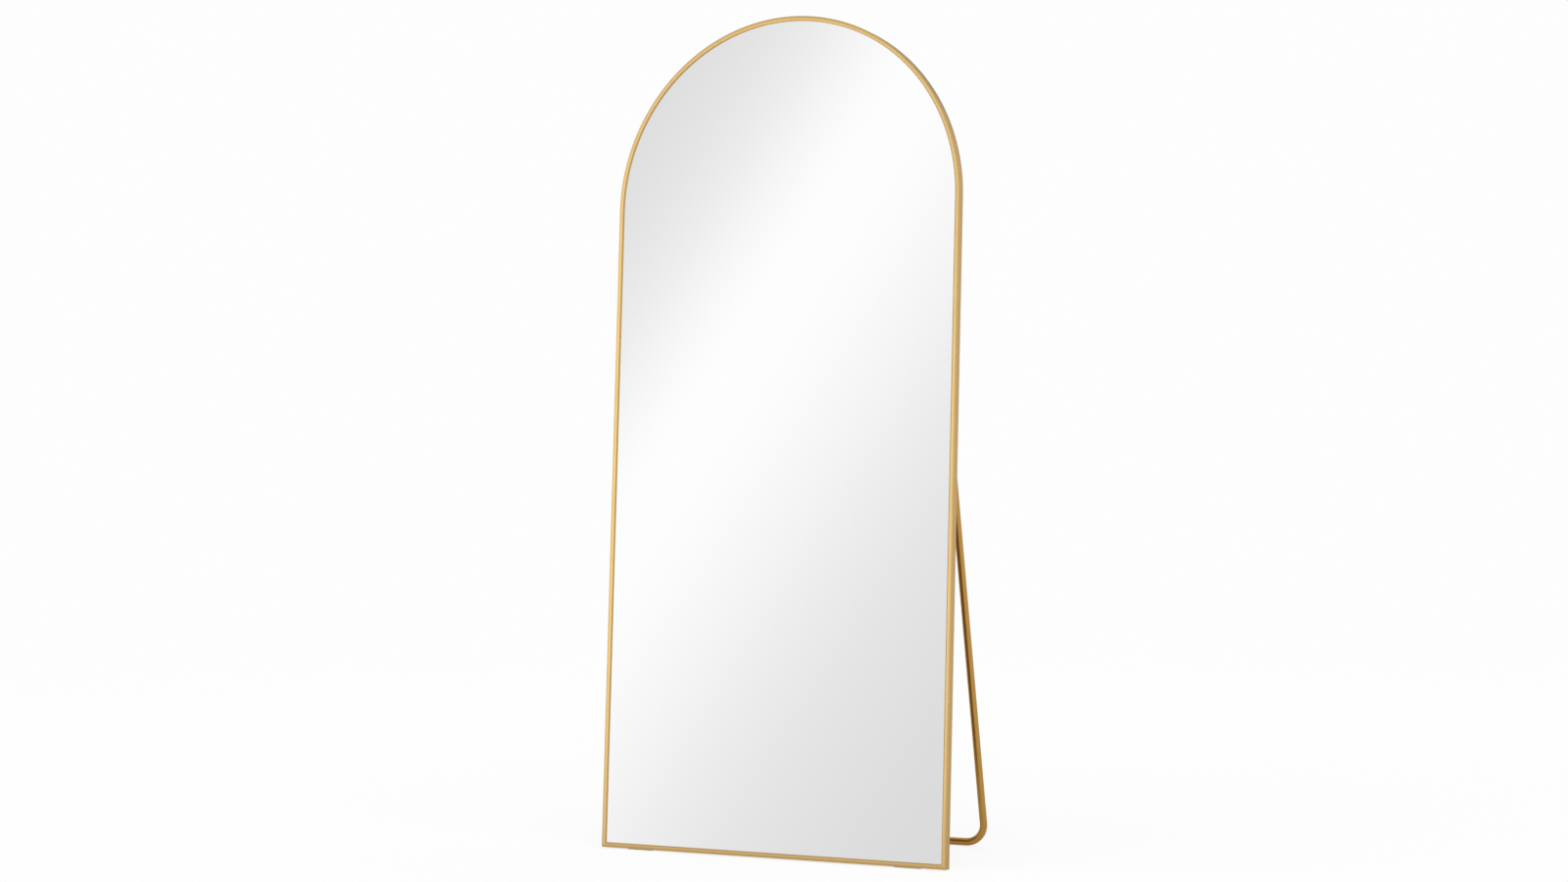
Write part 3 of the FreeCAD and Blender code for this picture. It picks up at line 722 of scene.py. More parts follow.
for name, node in (("bracket_screw_set", "bracket_screws"), ("hanger_screw_set", "hanger_screws")):
    low, high = boxes_on(MIRROR_BENCH, node)[0]
    heads = [place + Vector((0, 0, SCREW_HEAD_HEIGHT)) for place in seats(MIRROR_BENCH, node, 2, top=False)]
    screws = put_copies(name, pan_screw(high.z - low.z - SCREW_HEAD_HEIGHT), heads, ZINC_PLATED)
    finish_piece(screws, MIRROR_BENCH, "mirror", "fastener", node)

# %% [markdown]
# ## Set screws, and their holes in the frame
#
# Inside each bottom corner an angled key joins the hollow sections. Set screws through the frame's back
# press on it. They lie just below the surface, so the holes show, and each has a hexagon socket. The
# holes are cut out of the swept frame with plain round cutters, which is what the drill does.

# %% Set screws
SET_SCREW_RADIUS = 2.0 * MM
SET_SCREW_SUNK = 0.25 * MM
SET_SCREW_CHAMFER = 0.3 * MM
SET_SCREW_SOCKET = 2.0 * MM
HOLE_PLAY = 0.06 * MM


def set_screw(length):
    """A headless screw with its socket end at Z = 0 less what it is sunk by."""
    r, top, chamfer = SET_SCREW_RADIUS, -SET_SCREW_SUNK, SET_SCREW_CHAMFER
    outline = [(0, -length), (0.7 * r, -length), (r, -length + 0.3 * r)]
    outline += [(r, top - chamfer), (r - chamfer, top), (0, top)]
    socket = prism("socket", hexagon(SET_SCREW_SOCKET), -SET_SCREW_SOCKET, MM)
    return carve(turned("set_screw", outline, ROUND_STEPS), socket)


def drill(radius, places, low, high, facing=AS_DRAWN):
    """A cutter for round holes at those places, from one height to another along its axis."""
    bit = turned("bit", [(0, low), (radius, low), (radius, high), (0, high)], ROUND_STEPS)
    return put_copies("drill", bit, places, None, facing, most_turn=0.0)


key_seats = seats(MIRROR_BENCH, "corner_key_screws", 2, top=False)
key_low, key_high = boxes_on(MIRROR_BENCH, "corner_key_screws")[0]
for piece in (arch, rail):
    carve(piece, drill(SET_SCREW_RADIUS + HOLE_PLAY, key_seats, -MM, 2 * CHAMBER_WALL))
finish_piece(arch, MIRROR_BENCH, "mirror", "frame", "arch_frame")
finish_piece(rail, MIRROR_BENCH, "mirror", "frame", "bottom_rail")
key_screw = set_screw(key_high.z - key_low.z)
key_screws = put_copies("key_screw_set", key_screw, key_seats, ZINC_PLATED, seed=2)
finish_piece(key_screws, MIRROR_BENCH, "mirror", "fastener", "corner_key_screws")

# %% [markdown]
# ## The finish of the stand: satin gold lacquer
#
# The stand and the hinge brackets are steel, lacquered a deeper gold than the frame. Lacquer with metal
# powder in it reflects like metal, so it is shaded as a metal. Its surface is faintly wavy, as sprayed
# paint is, so two noises move the roughness and the normal.

# %% Gold lacquer
LACQUER = (0.87, 0.50, 0.128, 1.0)
DEEP_LACQUER = (0.80, 0.44, 0.10, 1.0)


def gold_lacquer():
    finish = Finish("gold_lacquer")
    clouds = finish.noise(scale=26.0, detail=3.0)
    flakes = finish.noise(scale=2600.0, detail=2.0)
    waves = finish.noise(scale=520.0, detail=2.0)
    colour = finish.blend(clouds * 0.7 + flakes * 0.3, LACQUER, DEEP_LACQUER)
    roughness = 0.25 + flakes * 0.1 + clouds * 0.05
    sprayed = finish.bump(waves, depth=0.012 * MM, strength=0.5)
    return finish.close(colour, roughness, sprayed, metallic=1.0)


GOLD_LACQUER = gold_lacquer()

# %% [markdown]
# ## The stand: one bent tube
#
# Two legs and a run on the floor are one steel tube, bent twice round a former. The same sweep tree makes
# it: the path is four points, the bends are its rounded corners, and the section is two circles, because
# the tube is hollow. Each leg is drilled for the bush of its pivot.

# %% The stand's tube
plug_low, plug_high = boxes_on(STAND_BENCH, "tube_plug_left")[0]
TUBE_RADIUS = (plug_high.x - plug_low.x) / 2
TUBE_WALL = 1.2 * MM
TUBE_BEND = 45 * MM
BEND_STEPS = 28
TUBE_SIDES = 56
DRILL_REACH = 0.5

leg_x, floor_y = TUBE_HIGH.x - TUBE_RADIUS, TUBE_LOW.y + TUBE_RADIUS
run = [(leg_x, TUBE_HIGH.y), (leg_x, floor_y), (-leg_x, floor_y), (-leg_x, TUBE_HIGH.y)]
route = line_mesh("route", [(x, y, PIVOT.z) for x, y in run])
rings = [circle(radius, TUBE_SIDES) for radius in (TUBE_RADIUS, TUBE_RADIUS - TUBE_WALL)]
rings = line_mesh("rings", *rings, closed=True)
bends = {"section": rings, "bend_radius": TUBE_BEND, "bend_steps": BEND_STEPS, "material": GOLD_LACQUER}
tube = cap_ends(grow(route, SWEEP, "stand_bent_tube", **bends))
bpy.data.objects.remove(rings)

bush_low, bush_high = boxes_on(STAND_BENCH, "pivot_bush_left")[0]
bush_radius = (bush_high.y - bush_low.y) / 2
carve(tube, drill(bush_radius, [(0, PIVOT.y, PIVOT.z)], -DRILL_REACH, DRILL_REACH, TO_THE_RIGHT))
finish_piece(tube, STAND_BENCH, "stand", "tube", "stand_tube")

# %% [markdown]
# ## The hinge: bolts, nuts, washers
#
# Each leg turns on a bolt between the two ears of its bracket. The bolt has a low round head with a
# hexagon socket, a plain shank and a few turns of thread, which here are rings, because nobody can tell
# at this size. The nut has the raised collar of a lock nut, which lets the joint stay loose without
# undoing itself. Two nylon washers keep the lacquer from being scraped.

# %% Bolts
BOLT_RADIUS = 3.0 * MM
BOLT_HEAD_HEIGHT = 3.0 * MM
BOLT_RIM = 0.6 * MM
BOLT_EDGE = 0.2 * MM
BOLT_SOCKET = 3.0 * MM
BOLT_SOCKET_DEPTH = 1.8 * MM
THREAD_PITCH = 1.0 * MM
THREAD_DEPTH = 0.3 * MM
THREAD_CREST = 0.1 * MM
THREAD_TURNS = 8
SOFT_STEPS = 40


def pivot_bolt(length, head_radius):
    """A button-head bolt whose head sits on Z = 0, with that length of shank below it."""
    crest, trough = BOLT_RADIUS - THREAD_CREST, BOLT_RADIUS - THREAD_DEPTH
    outline = [(0, -length), (BOLT_RADIUS - 2 * THREAD_DEPTH, -length)]
    for turn in range(THREAD_TURNS):
        height = -length + (turn + 0.6) * THREAD_PITCH
        outline += [(crest, height - THREAD_PITCH / 2), (trough, height)]
    outline += [(BOLT_RADIUS, -length + (THREAD_TURNS + 1) * THREAD_PITCH), (BOLT_RADIUS, 0)]
    outline += [(head_radius - BOLT_EDGE, 0), (head_radius, BOLT_EDGE)]
    outline += dome(head_radius, BOLT_HEAD_HEIGHT, BOLT_HEAD_HEIGHT - BOLT_RIM)
    floor, above = BOLT_HEAD_HEIGHT - BOLT_SOCKET_DEPTH, BOLT_HEAD_HEIGHT + MM
    socket = prism("socket", hexagon(BOLT_SOCKET), floor, above)
    return carve(turned("pivot_bolt", outline, SOFT_STEPS), socket)


for side, facing in (("left", TO_THE_LEFT), ("right", TO_THE_RIGHT)):
    node = f"hinge_bolt_{side}"
    low, high = box_on(MIRROR_BENCH, node)
    outwards = side == "right"
    seat = seats(MIRROR_BENCH, node, 0, top=outwards)[0]
    seat.x -= BOLT_HEAD_HEIGHT if outwards else -BOLT_HEAD_HEIGHT
    bolt = pivot_bolt(high.x - low.x - BOLT_HEAD_HEIGHT, (high.y - low.y) / 2)
    bolt = put_copies(f"pivot_bolt_{side}", bolt, [seat], ZINC_PLATED, facing, seed=3)
    finish_piece(bolt, MIRROR_BENCH, "mirror", "fastener", node)

# %% Nuts
NUT_COLLAR = 1.0 * MM
NUT_CHAMFER = 0.4 * MM
COLLAR_SHARE = 0.8


def lock_nut(height, corner_radius):
    """A hexagon nut with a round collar, drawn from its seat upwards. The bolt in it closes its bore."""
    flat, chamfer = height - NUT_COLLAR, NUT_CHAMFER
    bore = BOLT_RADIUS - THREAD_DEPTH
    corner = [(corner_radius - chamfer, 0), (corner_radius, chamfer)]
    corner += [(corner_radius, flat - chamfer), (corner_radius - chamfer, flat)]
    body = turned("lock_nut", [(bore, 0), *corner, (bore, flat)], 6, closed=True)
    collar = COLLAR_SHARE * corner_radius
    ring = [(bore, flat - chamfer), (collar, flat - chamfer), (collar, height - chamfer)]
    ring += arc((collar - chamfer, height - chamfer), chamfer, 0, 90, 3) + [(bore, height)]
    return carve(body, turned("collar", ring, ROUND_STEPS, closed=True), "UNION")


def joined(name, pieces):
    """Several plain pieces as one. They are used up."""
    mesh = bmesh.new()
    for piece in pieces:
        mesh.from_mesh(piece.data)
    made = new_object(name, mesh)
    made.data.materials.append(pieces[0].data.materials[0])
    for piece in pieces:
        bpy.data.objects.remove(piece)
    return made


# The nuts sit on the inner ears, so each one's seat faces outwards and its collar points to the middle.
left_nut, right_nut = boxes_on(MIRROR_BENCH, "hinge_nuts")
across = left_nut[1] - left_nut[0]
nuts = []
for corners, end, facing in ((left_nut, 0, TO_THE_RIGHT), (right_nut, 1, TO_THE_LEFT)):
    seat = (corners[0] + corners[1]) / 2
    seat.x = corners[end].x
    nut = lock_nut(across.x, across.y / 2)
    nuts.append(put_copies("nut", nut, [seat], ZINC_PLATED, facing, 0.0))
finish_piece(joined("lock_nut_pair", nuts), MIRROR_BENCH, "mirror", "fastener", "hinge_nuts")

# %% [markdown]
# ## The finish of the plastics and rubber
#
# Nylon is milky and slightly waxy. The moulded plugs are black plastic with the fine spark-eroded grain
# of a mould. The rubber is darker still and dull, with a coarser grain. The strips under the rail are
# clear silicone, which looks pale against a pale floor. One function makes all of them from a few
# numbers, because they differ only in colour, gloss and the size of their grain.

# %% Plastics and rubber
NYLON = (0.79, 0.77, 0.70, 1.0)
WARM_NYLON = (0.70, 0.67, 0.58, 1.0)
BLACK_PLASTIC = (0.022, 0.022, 0.024, 1.0)
GREY_PLASTIC = (0.035, 0.035, 0.038, 1.0)
RUBBER = (0.016, 0.016, 0.016, 1.0)
DUSTY_RUBBER = (0.04, 0.039, 0.037, 1.0)
SILICONE = (0.88, 0.88, 0.87, 1.0)
MILKY_SILICONE = (0.82, 0.825, 0.815, 1.0)


def moulded(name, colour, second_colour, roughness, grain, grain_depth):
    """A moulded surface: two near colours in clouds, and a grain with that many waves per metre."""
    finish = Finish(name)
    clouds = finish.noise(scale=150.0, detail=3.0)
    bumps = finish.noise(scale=grain, detail=2.0)
    mixed = finish.blend(clouds, colour, second_colour)
    roughness = roughness + clouds * 0.08 + bumps * 0.06
    return finish.close(mixed, roughness, finish.bump(bumps, grain_depth, strength=0.6))


NATURAL_NYLON = moulded("natural_nylon", NYLON, WARM_NYLON, 0.36, 2400.0, 0.01 * MM)
MOULDED_BLACK = moulded("moulded_black", BLACK_PLASTIC, GREY_PLASTIC, 0.42, 1900.0, 0.04 * MM)
BLACK_RUBBER = moulded("black_rubber", RUBBER, DUSTY_RUBBER, 0.62, 1400.0, 0.06 * MM)
CLEAR_SILICONE = moulded("clear_silicone", SILICONE, MILKY_SILICONE, 0.28, 900.0, 0.01 * MM)

# %% Washers
WASHER_ROUND = 0.25 * MM


def washer(inner, outer, thickness):
    """A flat ring round Z with rounded edges, centred on Z = 0."""
    r = WASHER_ROUND
    near, far, top = inner + r, outer - r, thickness / 2 - r
    outline = []
    for quarter, corner in enumerate(((far, top), (near, top), (near, -top), (far, -top))):
        outline += arc(corner, r, 90 * quarter, 90 * quarter + 90, 3)
    return turned("washer", outline, SOFT_STEPS, closed=True)


washer_boxes = boxes_on(MIRROR_BENCH, "hinge_washers")
across = washer_boxes[0][1] - washer_boxes[0][0]
middles = [(low + high) / 2 for low, high in washer_boxes]
washers = washer(BOLT_RADIUS, across.y / 2, across.x)
washers = put_copies("nylon_washer_set", washers, middles, NATURAL_NYLON, TO_THE_RIGHT)
finish_piece(washers, MIRROR_BENCH, "mirror", "nylon", "hinge_washers")

# %% [markdown]
# ## Rubber studs, plugs and sleeves
#
# Two studs at the bottom of the back stop the folded stand from hitting the frame. A plug closes the top
# of each leg. Two ribbed sleeves keep the stand from sliding. All are turned, and the ribs come from a
# loop over the outline.

# %% Studs
STUD_EDGE = 0.3 * MM
STUD_CROWN = 0.55

low, high = boxes_on(MIRROR_BENCH, "fold_bumpers")[0]
radius, height = (high.x - low.x) / 2, high.z - low.z
crown = radius * STUD_CROWN
stud = [(0, 0), (radius - STUD_EDGE, 0), (radius, STUD_EDGE)]
stud += arc((radius - crown, height - crown), crown, 0, 90, 8) + [(0, height)]
stud_places = seats(MIRROR_BENCH, "fold_bumpers", 2, top=True)
studs = put_copies("rubber_stud_pair", turned("stud", stud, SOFT_STEPS), stud_places, BLACK_RUBBER)
finish_piece(studs, MIRROR_BENCH, "mirror", "rubber", "fold_bumpers")

# %% Plugs
PLUG_PLAY = 0.1 * MM
PLUG_LEAD = 0.8 * MM
PLUG_RIBS = 4
PLUG_RIB_START = 0.4 * MM
PLUG_RIB_PITCH = 1.8 * MM
PLUG_RIB_DEPTH = 0.4 * MM
PLUG_CAP = 1.5 * MM
PLUG_CROWN = 1.1 * MM
PLUG_EDGE = 0.15 * MM
TUBE_STEPS = 48


def plug(depth):
    """A plug with its cap on Z = 0 and a body of that depth below, ribbed to grip the tube."""
    body = TUBE_RADIUS - TUBE_WALL - PLUG_PLAY
    outline = [(0, -depth), (body - PLUG_LEAD, -depth)]
    for rib in range(PLUG_RIBS):
        foot = -depth + PLUG_RIB_START + PLUG_RIB_PITCH * rib
        outline += [(body, foot + 0.5 * MM), (body - PLUG_RIB_DEPTH, foot + 1.6 * MM)]
    outline += [(body, 0), (TUBE_RADIUS - PLUG_EDGE, 0), (TUBE_RADIUS, PLUG_EDGE)]
    outline += arc((TUBE_RADIUS - PLUG_CROWN, PLUG_CAP - PLUG_CROWN), PLUG_CROWN, 0, 90, 6)
    return turned("plug", outline + [(0, PLUG_CAP)], TUBE_STEPS)


for side in ("left", "right"):
    node = f"tube_plug_{side}"
    low, high = box_on(STAND_BENCH, node)
    place = ((low.x + high.x) / 2, high.y - PLUG_CAP, PIVOT.z)
    made = plug(high.y - low.y - PLUG_CAP)
    made = put_copies(f"leg_plug_{side}", made, [place], MOULDED_BLACK, TO_THE_TOP)
    finish_piece(made, STAND_BENCH, "stand", "plug", node)

# %% Sleeves
SLEEVE_RIBS = 14
RIB_DEPTH = 0.45 * MM
SLEEVE_EDGE = 0.5 * MM
SLEEVE_BAND = 2.0 * MM


def sleeve(length, inner, outer):
    """A ribbed sleeve round Z, centred on Z = 0."""
    half, groove = length / 2, outer - RIB_DEPTH
    first_rib = half - SLEEVE_BAND
    pitch = 2 * first_rib / SLEEVE_RIBS
    outline = [(inner, -half), (inner, half), (outer - SLEEVE_EDGE, half)]
    outline += [(outer, half - SLEEVE_EDGE), (outer, first_rib)]
    for rib in range(SLEEVE_RIBS):
        top = first_rib - rib * pitch
        outline += [(groove, top - 0.15 * pitch), (groove, top - 0.4 * pitch)]
        outline += [(outer, top - 0.55 * pitch), (outer, top - pitch)]
    outline += [(outer, SLEEVE_EDGE - half), (outer - SLEEVE_EDGE, -half)]
    return turned("sleeve", outline, TUBE_STEPS, closed=True)


for side in ("left", "right"):
    node = f"floor_sleeve_{side}"
    low, high = box_on(STAND_BENCH, node)
    made = sleeve(high.x - low.x, TUBE_RADIUS, (high.y - low.y) / 2)
    middle = (low + high) / 2
    made = put_copies(f"ribbed_sleeve_{side}", made, [middle], BLACK_RUBBER, TO_THE_RIGHT, 0.0)
    finish_piece(made, STAND_BENCH, "stand", "rubber", node)

# %% [markdown]
# ## Pressed and sawn pieces
#
# The brackets, hanging plates, bar and floor strips have the right shape in the CAD model, but its edges
# are perfectly sharp, and no real edge is. A sharp edge never catches the light. Each is copied, its
# loose triangles are joined and merged into flat faces, and a bevel of a fraction of a millimetre breaks
# its edges. Weighted normals then keep the shading of the wide faces flat up to the bevel.

# %% Broken edges
def edge_broken(name, node, material, width):
    """A copy of a CAD node with its edges broken by that width."""
    mesh = bmesh.new()
    mesh.from_mesh(frame["nodes"][node].data)
    bmesh.ops.remove_doubles(mesh, verts=mesh.verts, dist=0.001 * MM)
    bmesh.ops.dissolve_limit(mesh, angle_limit=math.radians(0.5), verts=mesh.verts, edges=mesh.edges)
    piece = new_object(name, mesh)
    piece.data.shade_smooth()
    piece.data.materials.append(material)
    bevel = piece.modifiers.new("broken_edge", "BEVEL")
    bevel.width = width
    bevel.segments = 2
    bevel.limit_method = "ANGLE"
    bevel.angle_limit = SHARP
    weights = piece.modifiers.new("flat_stays_flat", "WEIGHTED_NORMAL")
    weights.weight = 100
    return freeze(piece)


# %% [markdown]
# ## The finish of the bar: mill-finish aluminium
#
# The flat bar across the back comes straight from the mill. It was rolled along its length, so its lines
# run along X, and handling leaves it a little dull in patches.

# %% Mill finish
ALUMINIUM = (0.78, 0.79, 0.80, 1.0)
DULL_ALUMINIUM = (0.62, 0.63, 0.65, 1.0)


def mill_finish():
    finish = Finish("mill_finish")
    lines = finish.noise(scale=1.0, detail=4.0, place=finish.stretched((12.0, 3200.0, 3200.0)))
    patches = finish.noise(scale=16.0, detail=3.0)
    colour = finish.blend(lines * 0.5 + patches * 0.5, ALUMINIUM, DULL_ALUMINIUM)
    roughness = 0.3 + lines * 0.12 + patches * 0.1
    rolled = finish.bump(lines, depth=0.02 * MM, strength=0.5)
    return finish.close(colour, roughness, rolled, metallic=1.0)


# Each piece's name, its CAD node, its finish, how much its edges are broken, and its slot.
SHEET_PIECES = [("cross_bar", "crossbar", mill_finish(), 0.4 * MM, "bar")]
for side in ("left", "right"):
    SHEET_PIECES += [
        (f"leg_bracket_{side}", f"hinge_bracket_{side}", GOLD_LACQUER, 0.3 * MM, "bracket"),
        (f"keyhole_plate_{side}", f"hanger_plate_{side}", GOLD_LACQUER, 0.25 * MM, "bracket"),
        (f"floor_strip_{side}", f"floor_pad_{side}", CLEAR_SILICONE, 0.4 * MM, "silicone"),
    ]
NO_BENCH = Matrix.Identity(4)
for name, node, finish, width, slot in SHEET_PIECES:
    finish_piece(edge_broken(name, node, finish, width), NO_BENCH, "mirror", slot, node)

# %% [markdown]
# ## The finish of the back: hardboard
#
# The board behind the glass is pressed from wood fibre. Its smooth side is brown, with short darker
# fibres lying all ways and soft stains. Noise drawn out along X and, finer, along Z gives the fibres, and
# slow noise the stains.

# %% Hardboard
BOARD = (0.235, 0.14, 0.072, 1.0)
PALE_BOARD = (0.275, 0.168, 0.09, 1.0)
FIBRE = (0.13, 0.073, 0.037, 1.0)


def hardboard():
    finish = Finish("hardboard")
    stains = finish.noise(scale=5.0, detail=4.0)
    across = finish.noise(scale=1.0, detail=3.0, place=finish.stretched((160.0, 900.0, 900.0)))
    upwards = finish.noise(scale=1.0, detail=3.0, place=finish.stretched((900.0, 900.0, 160.0)))
    specks = across.between(0.62, 0.74) * 0.6 + upwards.between(0.62, 0.74) * 0.6
    ground = finish.blend(stains.between(0.3, 0.7), BOARD, PALE_BOARD)
    colour = finish.blend(specks, ground, FIBRE)
    roughness = 0.5 + stains * 0.12 + specks * 0.1
    pressed = finish.bump(across + upwards, depth=0.05 * MM, strength=0.4)
    return finish.close(colour, roughness, pressed)


# %% [markdown]
# ## The finish of the glass
#
# A mirror is glass with silver behind it. From the front the silver decides what is seen, and the glass
# adds only a breath of green. A shader for a metal with no roughness does that without the noise of two
# surfaces. Real float glass is not perfectly even, so its tint drifts very slightly across the sheet.

# %% Mirror glass
SILVER = (0.95, 0.95, 0.95, 1.0)
GREEN_SILVER = (0.94, 0.945, 0.942, 1.0)


def mirror_silver():
    finish = Finish("mirror_silver")
    drift = finish.noise(scale=1.6, detail=1.0)
    return finish.close(finish.blend(drift, SILVER, GREEN_SILVER), 0.0, metallic=1.0)


# %% [markdown]
# ## The finish of what is hidden
#
# The film, the foam and the corner keys are inside the frame. They still get their own finishes, because
# the part may be taken to pieces: a clear film that has creased a little, a white foam with small cells,
# and keys of grey cast metal.

# %% Film, foam and cast metal
FILM = (0.62, 0.68, 0.74, 1.0)
CREASED_FILM = (0.72, 0.77, 0.82, 1.0)
FOAM = (0.83, 0.83, 0.81, 1.0)
FOAM_CELL = (0.68, 0.68, 0.66, 1.0)
CAST = (0.17, 0.17, 0.175, 1.0)
BRIGHT_CAST = (0.26, 0.26, 0.265, 1.0)


def cell_foam():
    finish = Finish("cell_foam")
    settings = {"feature": "DISTANCE_TO_EDGE"}
    cells = finish.add("ShaderNodeTexVoronoi", settings, {"Vector": finish.place, "Scale": 900.0})
    walls = cells.between(0.0, 0.25)
    colour = finish.blend(walls, FOAM, FOAM_CELL)
    return finish.close(colour, 0.85 + walls * 0.1, finish.bump(walls, depth=0.1 * MM, strength=0.5))


def cast_metal():
    finish = Finish("cast_metal")
    grain = finish.noise(scale=1100.0, detail=4.0)
    clouds = finish.noise(scale=90.0, detail=2.0)
    colour = finish.blend(clouds, CAST, BRIGHT_CAST)
    sandy = finish.bump(grain, depth=0.08 * MM, strength=0.7)
    return finish.close(colour, 0.48 + grain * 0.2, sandy, metallic=0.9)


CAST_METAL = cast_metal()
CAD_FINISHES = {
    "mirror_glass": mirror_silver(),
    "safety_film": moulded("clear_film", FILM, CREASED_FILM, 0.2, 60.0, 0.1 * MM),
    "foam_sheet": cell_foam(),
    "backboard": hardboard(),
    "pivot_bush_left": NATURAL_NYLON,
    "pivot_bush_right": NATURAL_NYLON,
    "corner_key_left": CAST_METAL,
    "corner_key_right": CAST_METAL,
}
for name, material in CAD_FINISHES.items():
    for slot in frame["nodes"][name].material_slots:
        slot.material = material
print("CAD nodes dressed:", ", ".join(sorted(CAD_FINISHES)))

# %% [markdown]
# ## The studio floor
#
# The photograph has a pure white ground with hardly a shadow. A large pale disc gives the floor, and it
# thins out towards its rim, so that it has no edge. Most of its white is its own light and the rest is
# what falls on it, which keeps the shadows as faint as the photograph has them. What the gold reflects of
# it is darker, as a floor lit only from above would be, and the glass doesn't reflect it at all, because
# the photograph shows no floor in the mirror.

# %% Floor
FLOOR_RADIUS = 6.0
FLOOR_CLEAR = 2.6
FLOOR_SIDES = 128
FLOOR_TO_CAMERA = {"grey": 0.30, "glow": 0.81}
FLOOR_TO_GOLD = {"grey": 0.80, "glow": 0.05}


def studio_floor():
    mesh = bmesh.new()
    bmesh.ops.create_circle(mesh, cap_ends=True, segments=FLOOR_SIDES, radius=FLOOR_RADIUS)
    floor = new_object("studio_floor", mesh)
    paint = Finish("studio_floor")

    def coat(grey, glow):
        dull = paint.add("ShaderNodeBsdfDiffuse", None, {"Color": (grey, grey, grey, 1.0)})
        light = paint.add("ShaderNodeEmission", None, {"Color": (1.0, 1.0, 1.0, 1.0), "Strength": glow})
        return paint.add("ShaderNodeAddShader", None, {0: dull, 1: light})

    rays = paint.add("ShaderNodeLightPath")
    coats = {0: rays, 1: coat(**FLOOR_TO_GOLD), 2: coat(**FLOOR_TO_CAMERA)}
    surface = paint.add("ShaderNodeMixShader", None, coats)
    reach = paint.add("ShaderNodeVectorMath", {"operation": "LENGTH"}, {0: paint.place}, "Value")
    thinned = reach.between(FLOOR_CLEAR, FLOOR_RADIUS)
    gone = rays.maths("MAXIMUM", thinned, rays.beside("Is Singular Ray"))
    nothing = paint.add("ShaderNodeBsdfTransparent")
    faded = paint.add("ShaderNodeMixShader", None, {0: gone, 1: surface, 2: nothing})
    paint.add("ShaderNodeOutputMaterial", None, {"Surface": faded})
    floor.data.materials.append(paint.material)
    return floor


studio_floor()

# %% [markdown]
# ## Studio light
#
# All the light comes from a bright surround, as in a white studio hung with soft lamps. Five soft lamps
# stand in it as bright patches: a wide one at the front left, which the face of the frame mirrors, weaker
# ones at the right, at the left and at the back right, and one overhead. The glass is too clean a mirror
# for patches: it is shown a calm wall with slanting bands of light instead, and the camera looks straight
# at plain white.

# %% Surround
BACKDROP_WHITE = 0.985
DARK_SURROUND = 0.27
# Each lamp's direction, the cosines where its patch starts and is full, and its strength.
LAMPS = {
    "front left": ((-0.47, -0.88, 0.0), 0.85, 1.0, 1.02),
    "right": ((0.94, -0.34, 0.09), 0.20, 0.85, 0.38),
    "back right": ((0.39, 0.92, 0.0), 0.75, 0.97, 0.30),
    "left": ((-0.97, -0.26, 0.05), 0.60, 0.95, 0.14),
    "overhead": ((0.0, 0.0, 1.0), 0.50, 1.0, 0.50),
}
# The bands' width, start, heading and height are in degrees. A ramp's stops are positions and greys.
BAND_PERIOD = 24.0
BAND_START = 8.0
BAND_HEADING = 24.5
BAND_HEIGHT = 14.2
BAND_SLANT = 0.573
BAND_STOPS = (
    (0.0, 0.727),
    (0.122, 0.730),
    (0.229, 0.855),
    (0.333, 0.985),
    (0.525, 0.841),
    (0.717, 0.716),
    (1.0, 0.722),
)
BAND_WHITE = 1.055
FIRST_BOUNCE = 2.5


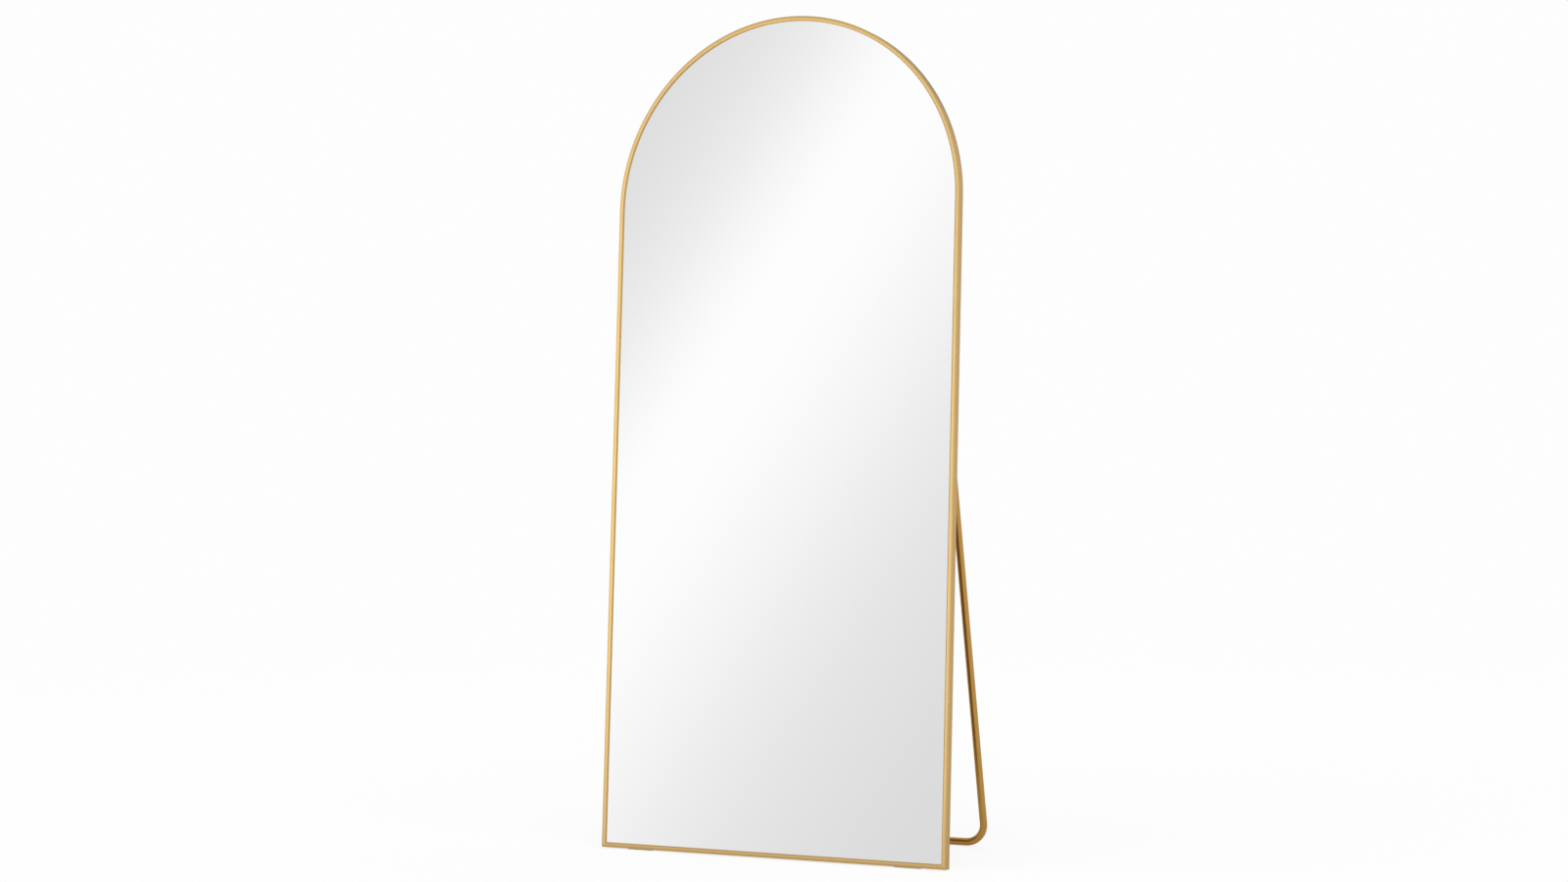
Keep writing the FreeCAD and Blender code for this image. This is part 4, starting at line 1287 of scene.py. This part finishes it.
def studio_light():
    world = bpy.data.worlds.new("studio")
    world.use_nodes = True
    bpy.context.scene.world = world
    world.node_tree.nodes.clear()
    add = partial(add_node, world.node_tree)

    way = add("ShaderNodeTexCoord", output="Generated")
    light = DARK_SURROUND
    for direction, outer, inner, strength in LAMPS.values():
        toward = {0: way, 1: Vector(direction).normalized()}
        facing = add("ShaderNodeVectorMath", {"operation": "DOT_PRODUCT"}, toward, "Value")
        light = light + facing.between(outer, inner) * strength

    parts = add("ShaderNodeSeparateXYZ", None, {0: way})
    x, y, z = parts, parts.beside(1), parts.beside(2)
    degrees = 180 / math.pi
    heading = x.maths("ARCTAN2", x, 0.0 - y) * degrees
    height = z.maths("ARCSINE", z) * degrees
    slanted = heading + BAND_HEADING + (BAND_HEIGHT - height) * BAND_SLANT
    phase = ((slanted + BAND_START) % BAND_PERIOD) / BAND_PERIOD
    bands = add("ShaderNodeValToRGB", {"stops": BAND_STOPS}, {"Fac": phase})
    wall = bands * BAND_WHITE

    rays = add("ShaderNodeLightPath")
    first_bounce = rays.maths("LESS_THAN", rays.beside("Ray Depth"), FIRST_BOUNCE)
    mirrored = rays.beside("Is Singular Ray") * first_bounce
    shown = add("ShaderNodeMix", {"data_type": "FLOAT"}, {0: mirrored, 2: light, 3: wall})
    shown = add("ShaderNodeMix", {"data_type": "FLOAT"}, {0: rays, 2: shown, 3: BACKDROP_WHITE})
    background = add("ShaderNodeBackground", None, {"Color": shown, "Strength": 1.0})
    add("ShaderNodeOutputWorld", None, {"Surface": background})
    print("lamps:", ", ".join(LAMPS))


studio_light()
bpy.context.scene.view_settings.view_transform = "Standard"

# %% [markdown]
# ## The camera
#
# The photograph was taken from the front right at chest height, with a long lens. The camera's place,
# turn and lens were found by fitting the outline of the frame and the stand, so a render lies over the
# photograph.

# %% Camera
CAMERA_PLACE = (2.5921, -5.3462, 0.8719)
CAMERA_TURN = 26.2517
CAMERA_TILT = 0.1277
CAMERA_ROLL = -0.3604
CAMERA_LENS = 62.7246


def photograph_camera():
    data = bpy.data.cameras.new("camera")
    data.lens = CAMERA_LENS
    camera = new_object("camera", data)
    turn = Matrix.Rotation(math.radians(CAMERA_TURN), 4, "Z")
    tilt = Matrix.Rotation(math.radians(90 + CAMERA_TILT), 4, "X")
    roll = Matrix.Rotation(math.radians(CAMERA_ROLL), 4, "Z")
    camera.matrix_world = Matrix.Translation(CAMERA_PLACE) @ turn @ tilt @ roll
    bpy.context.scene.camera = camera


photograph_camera()
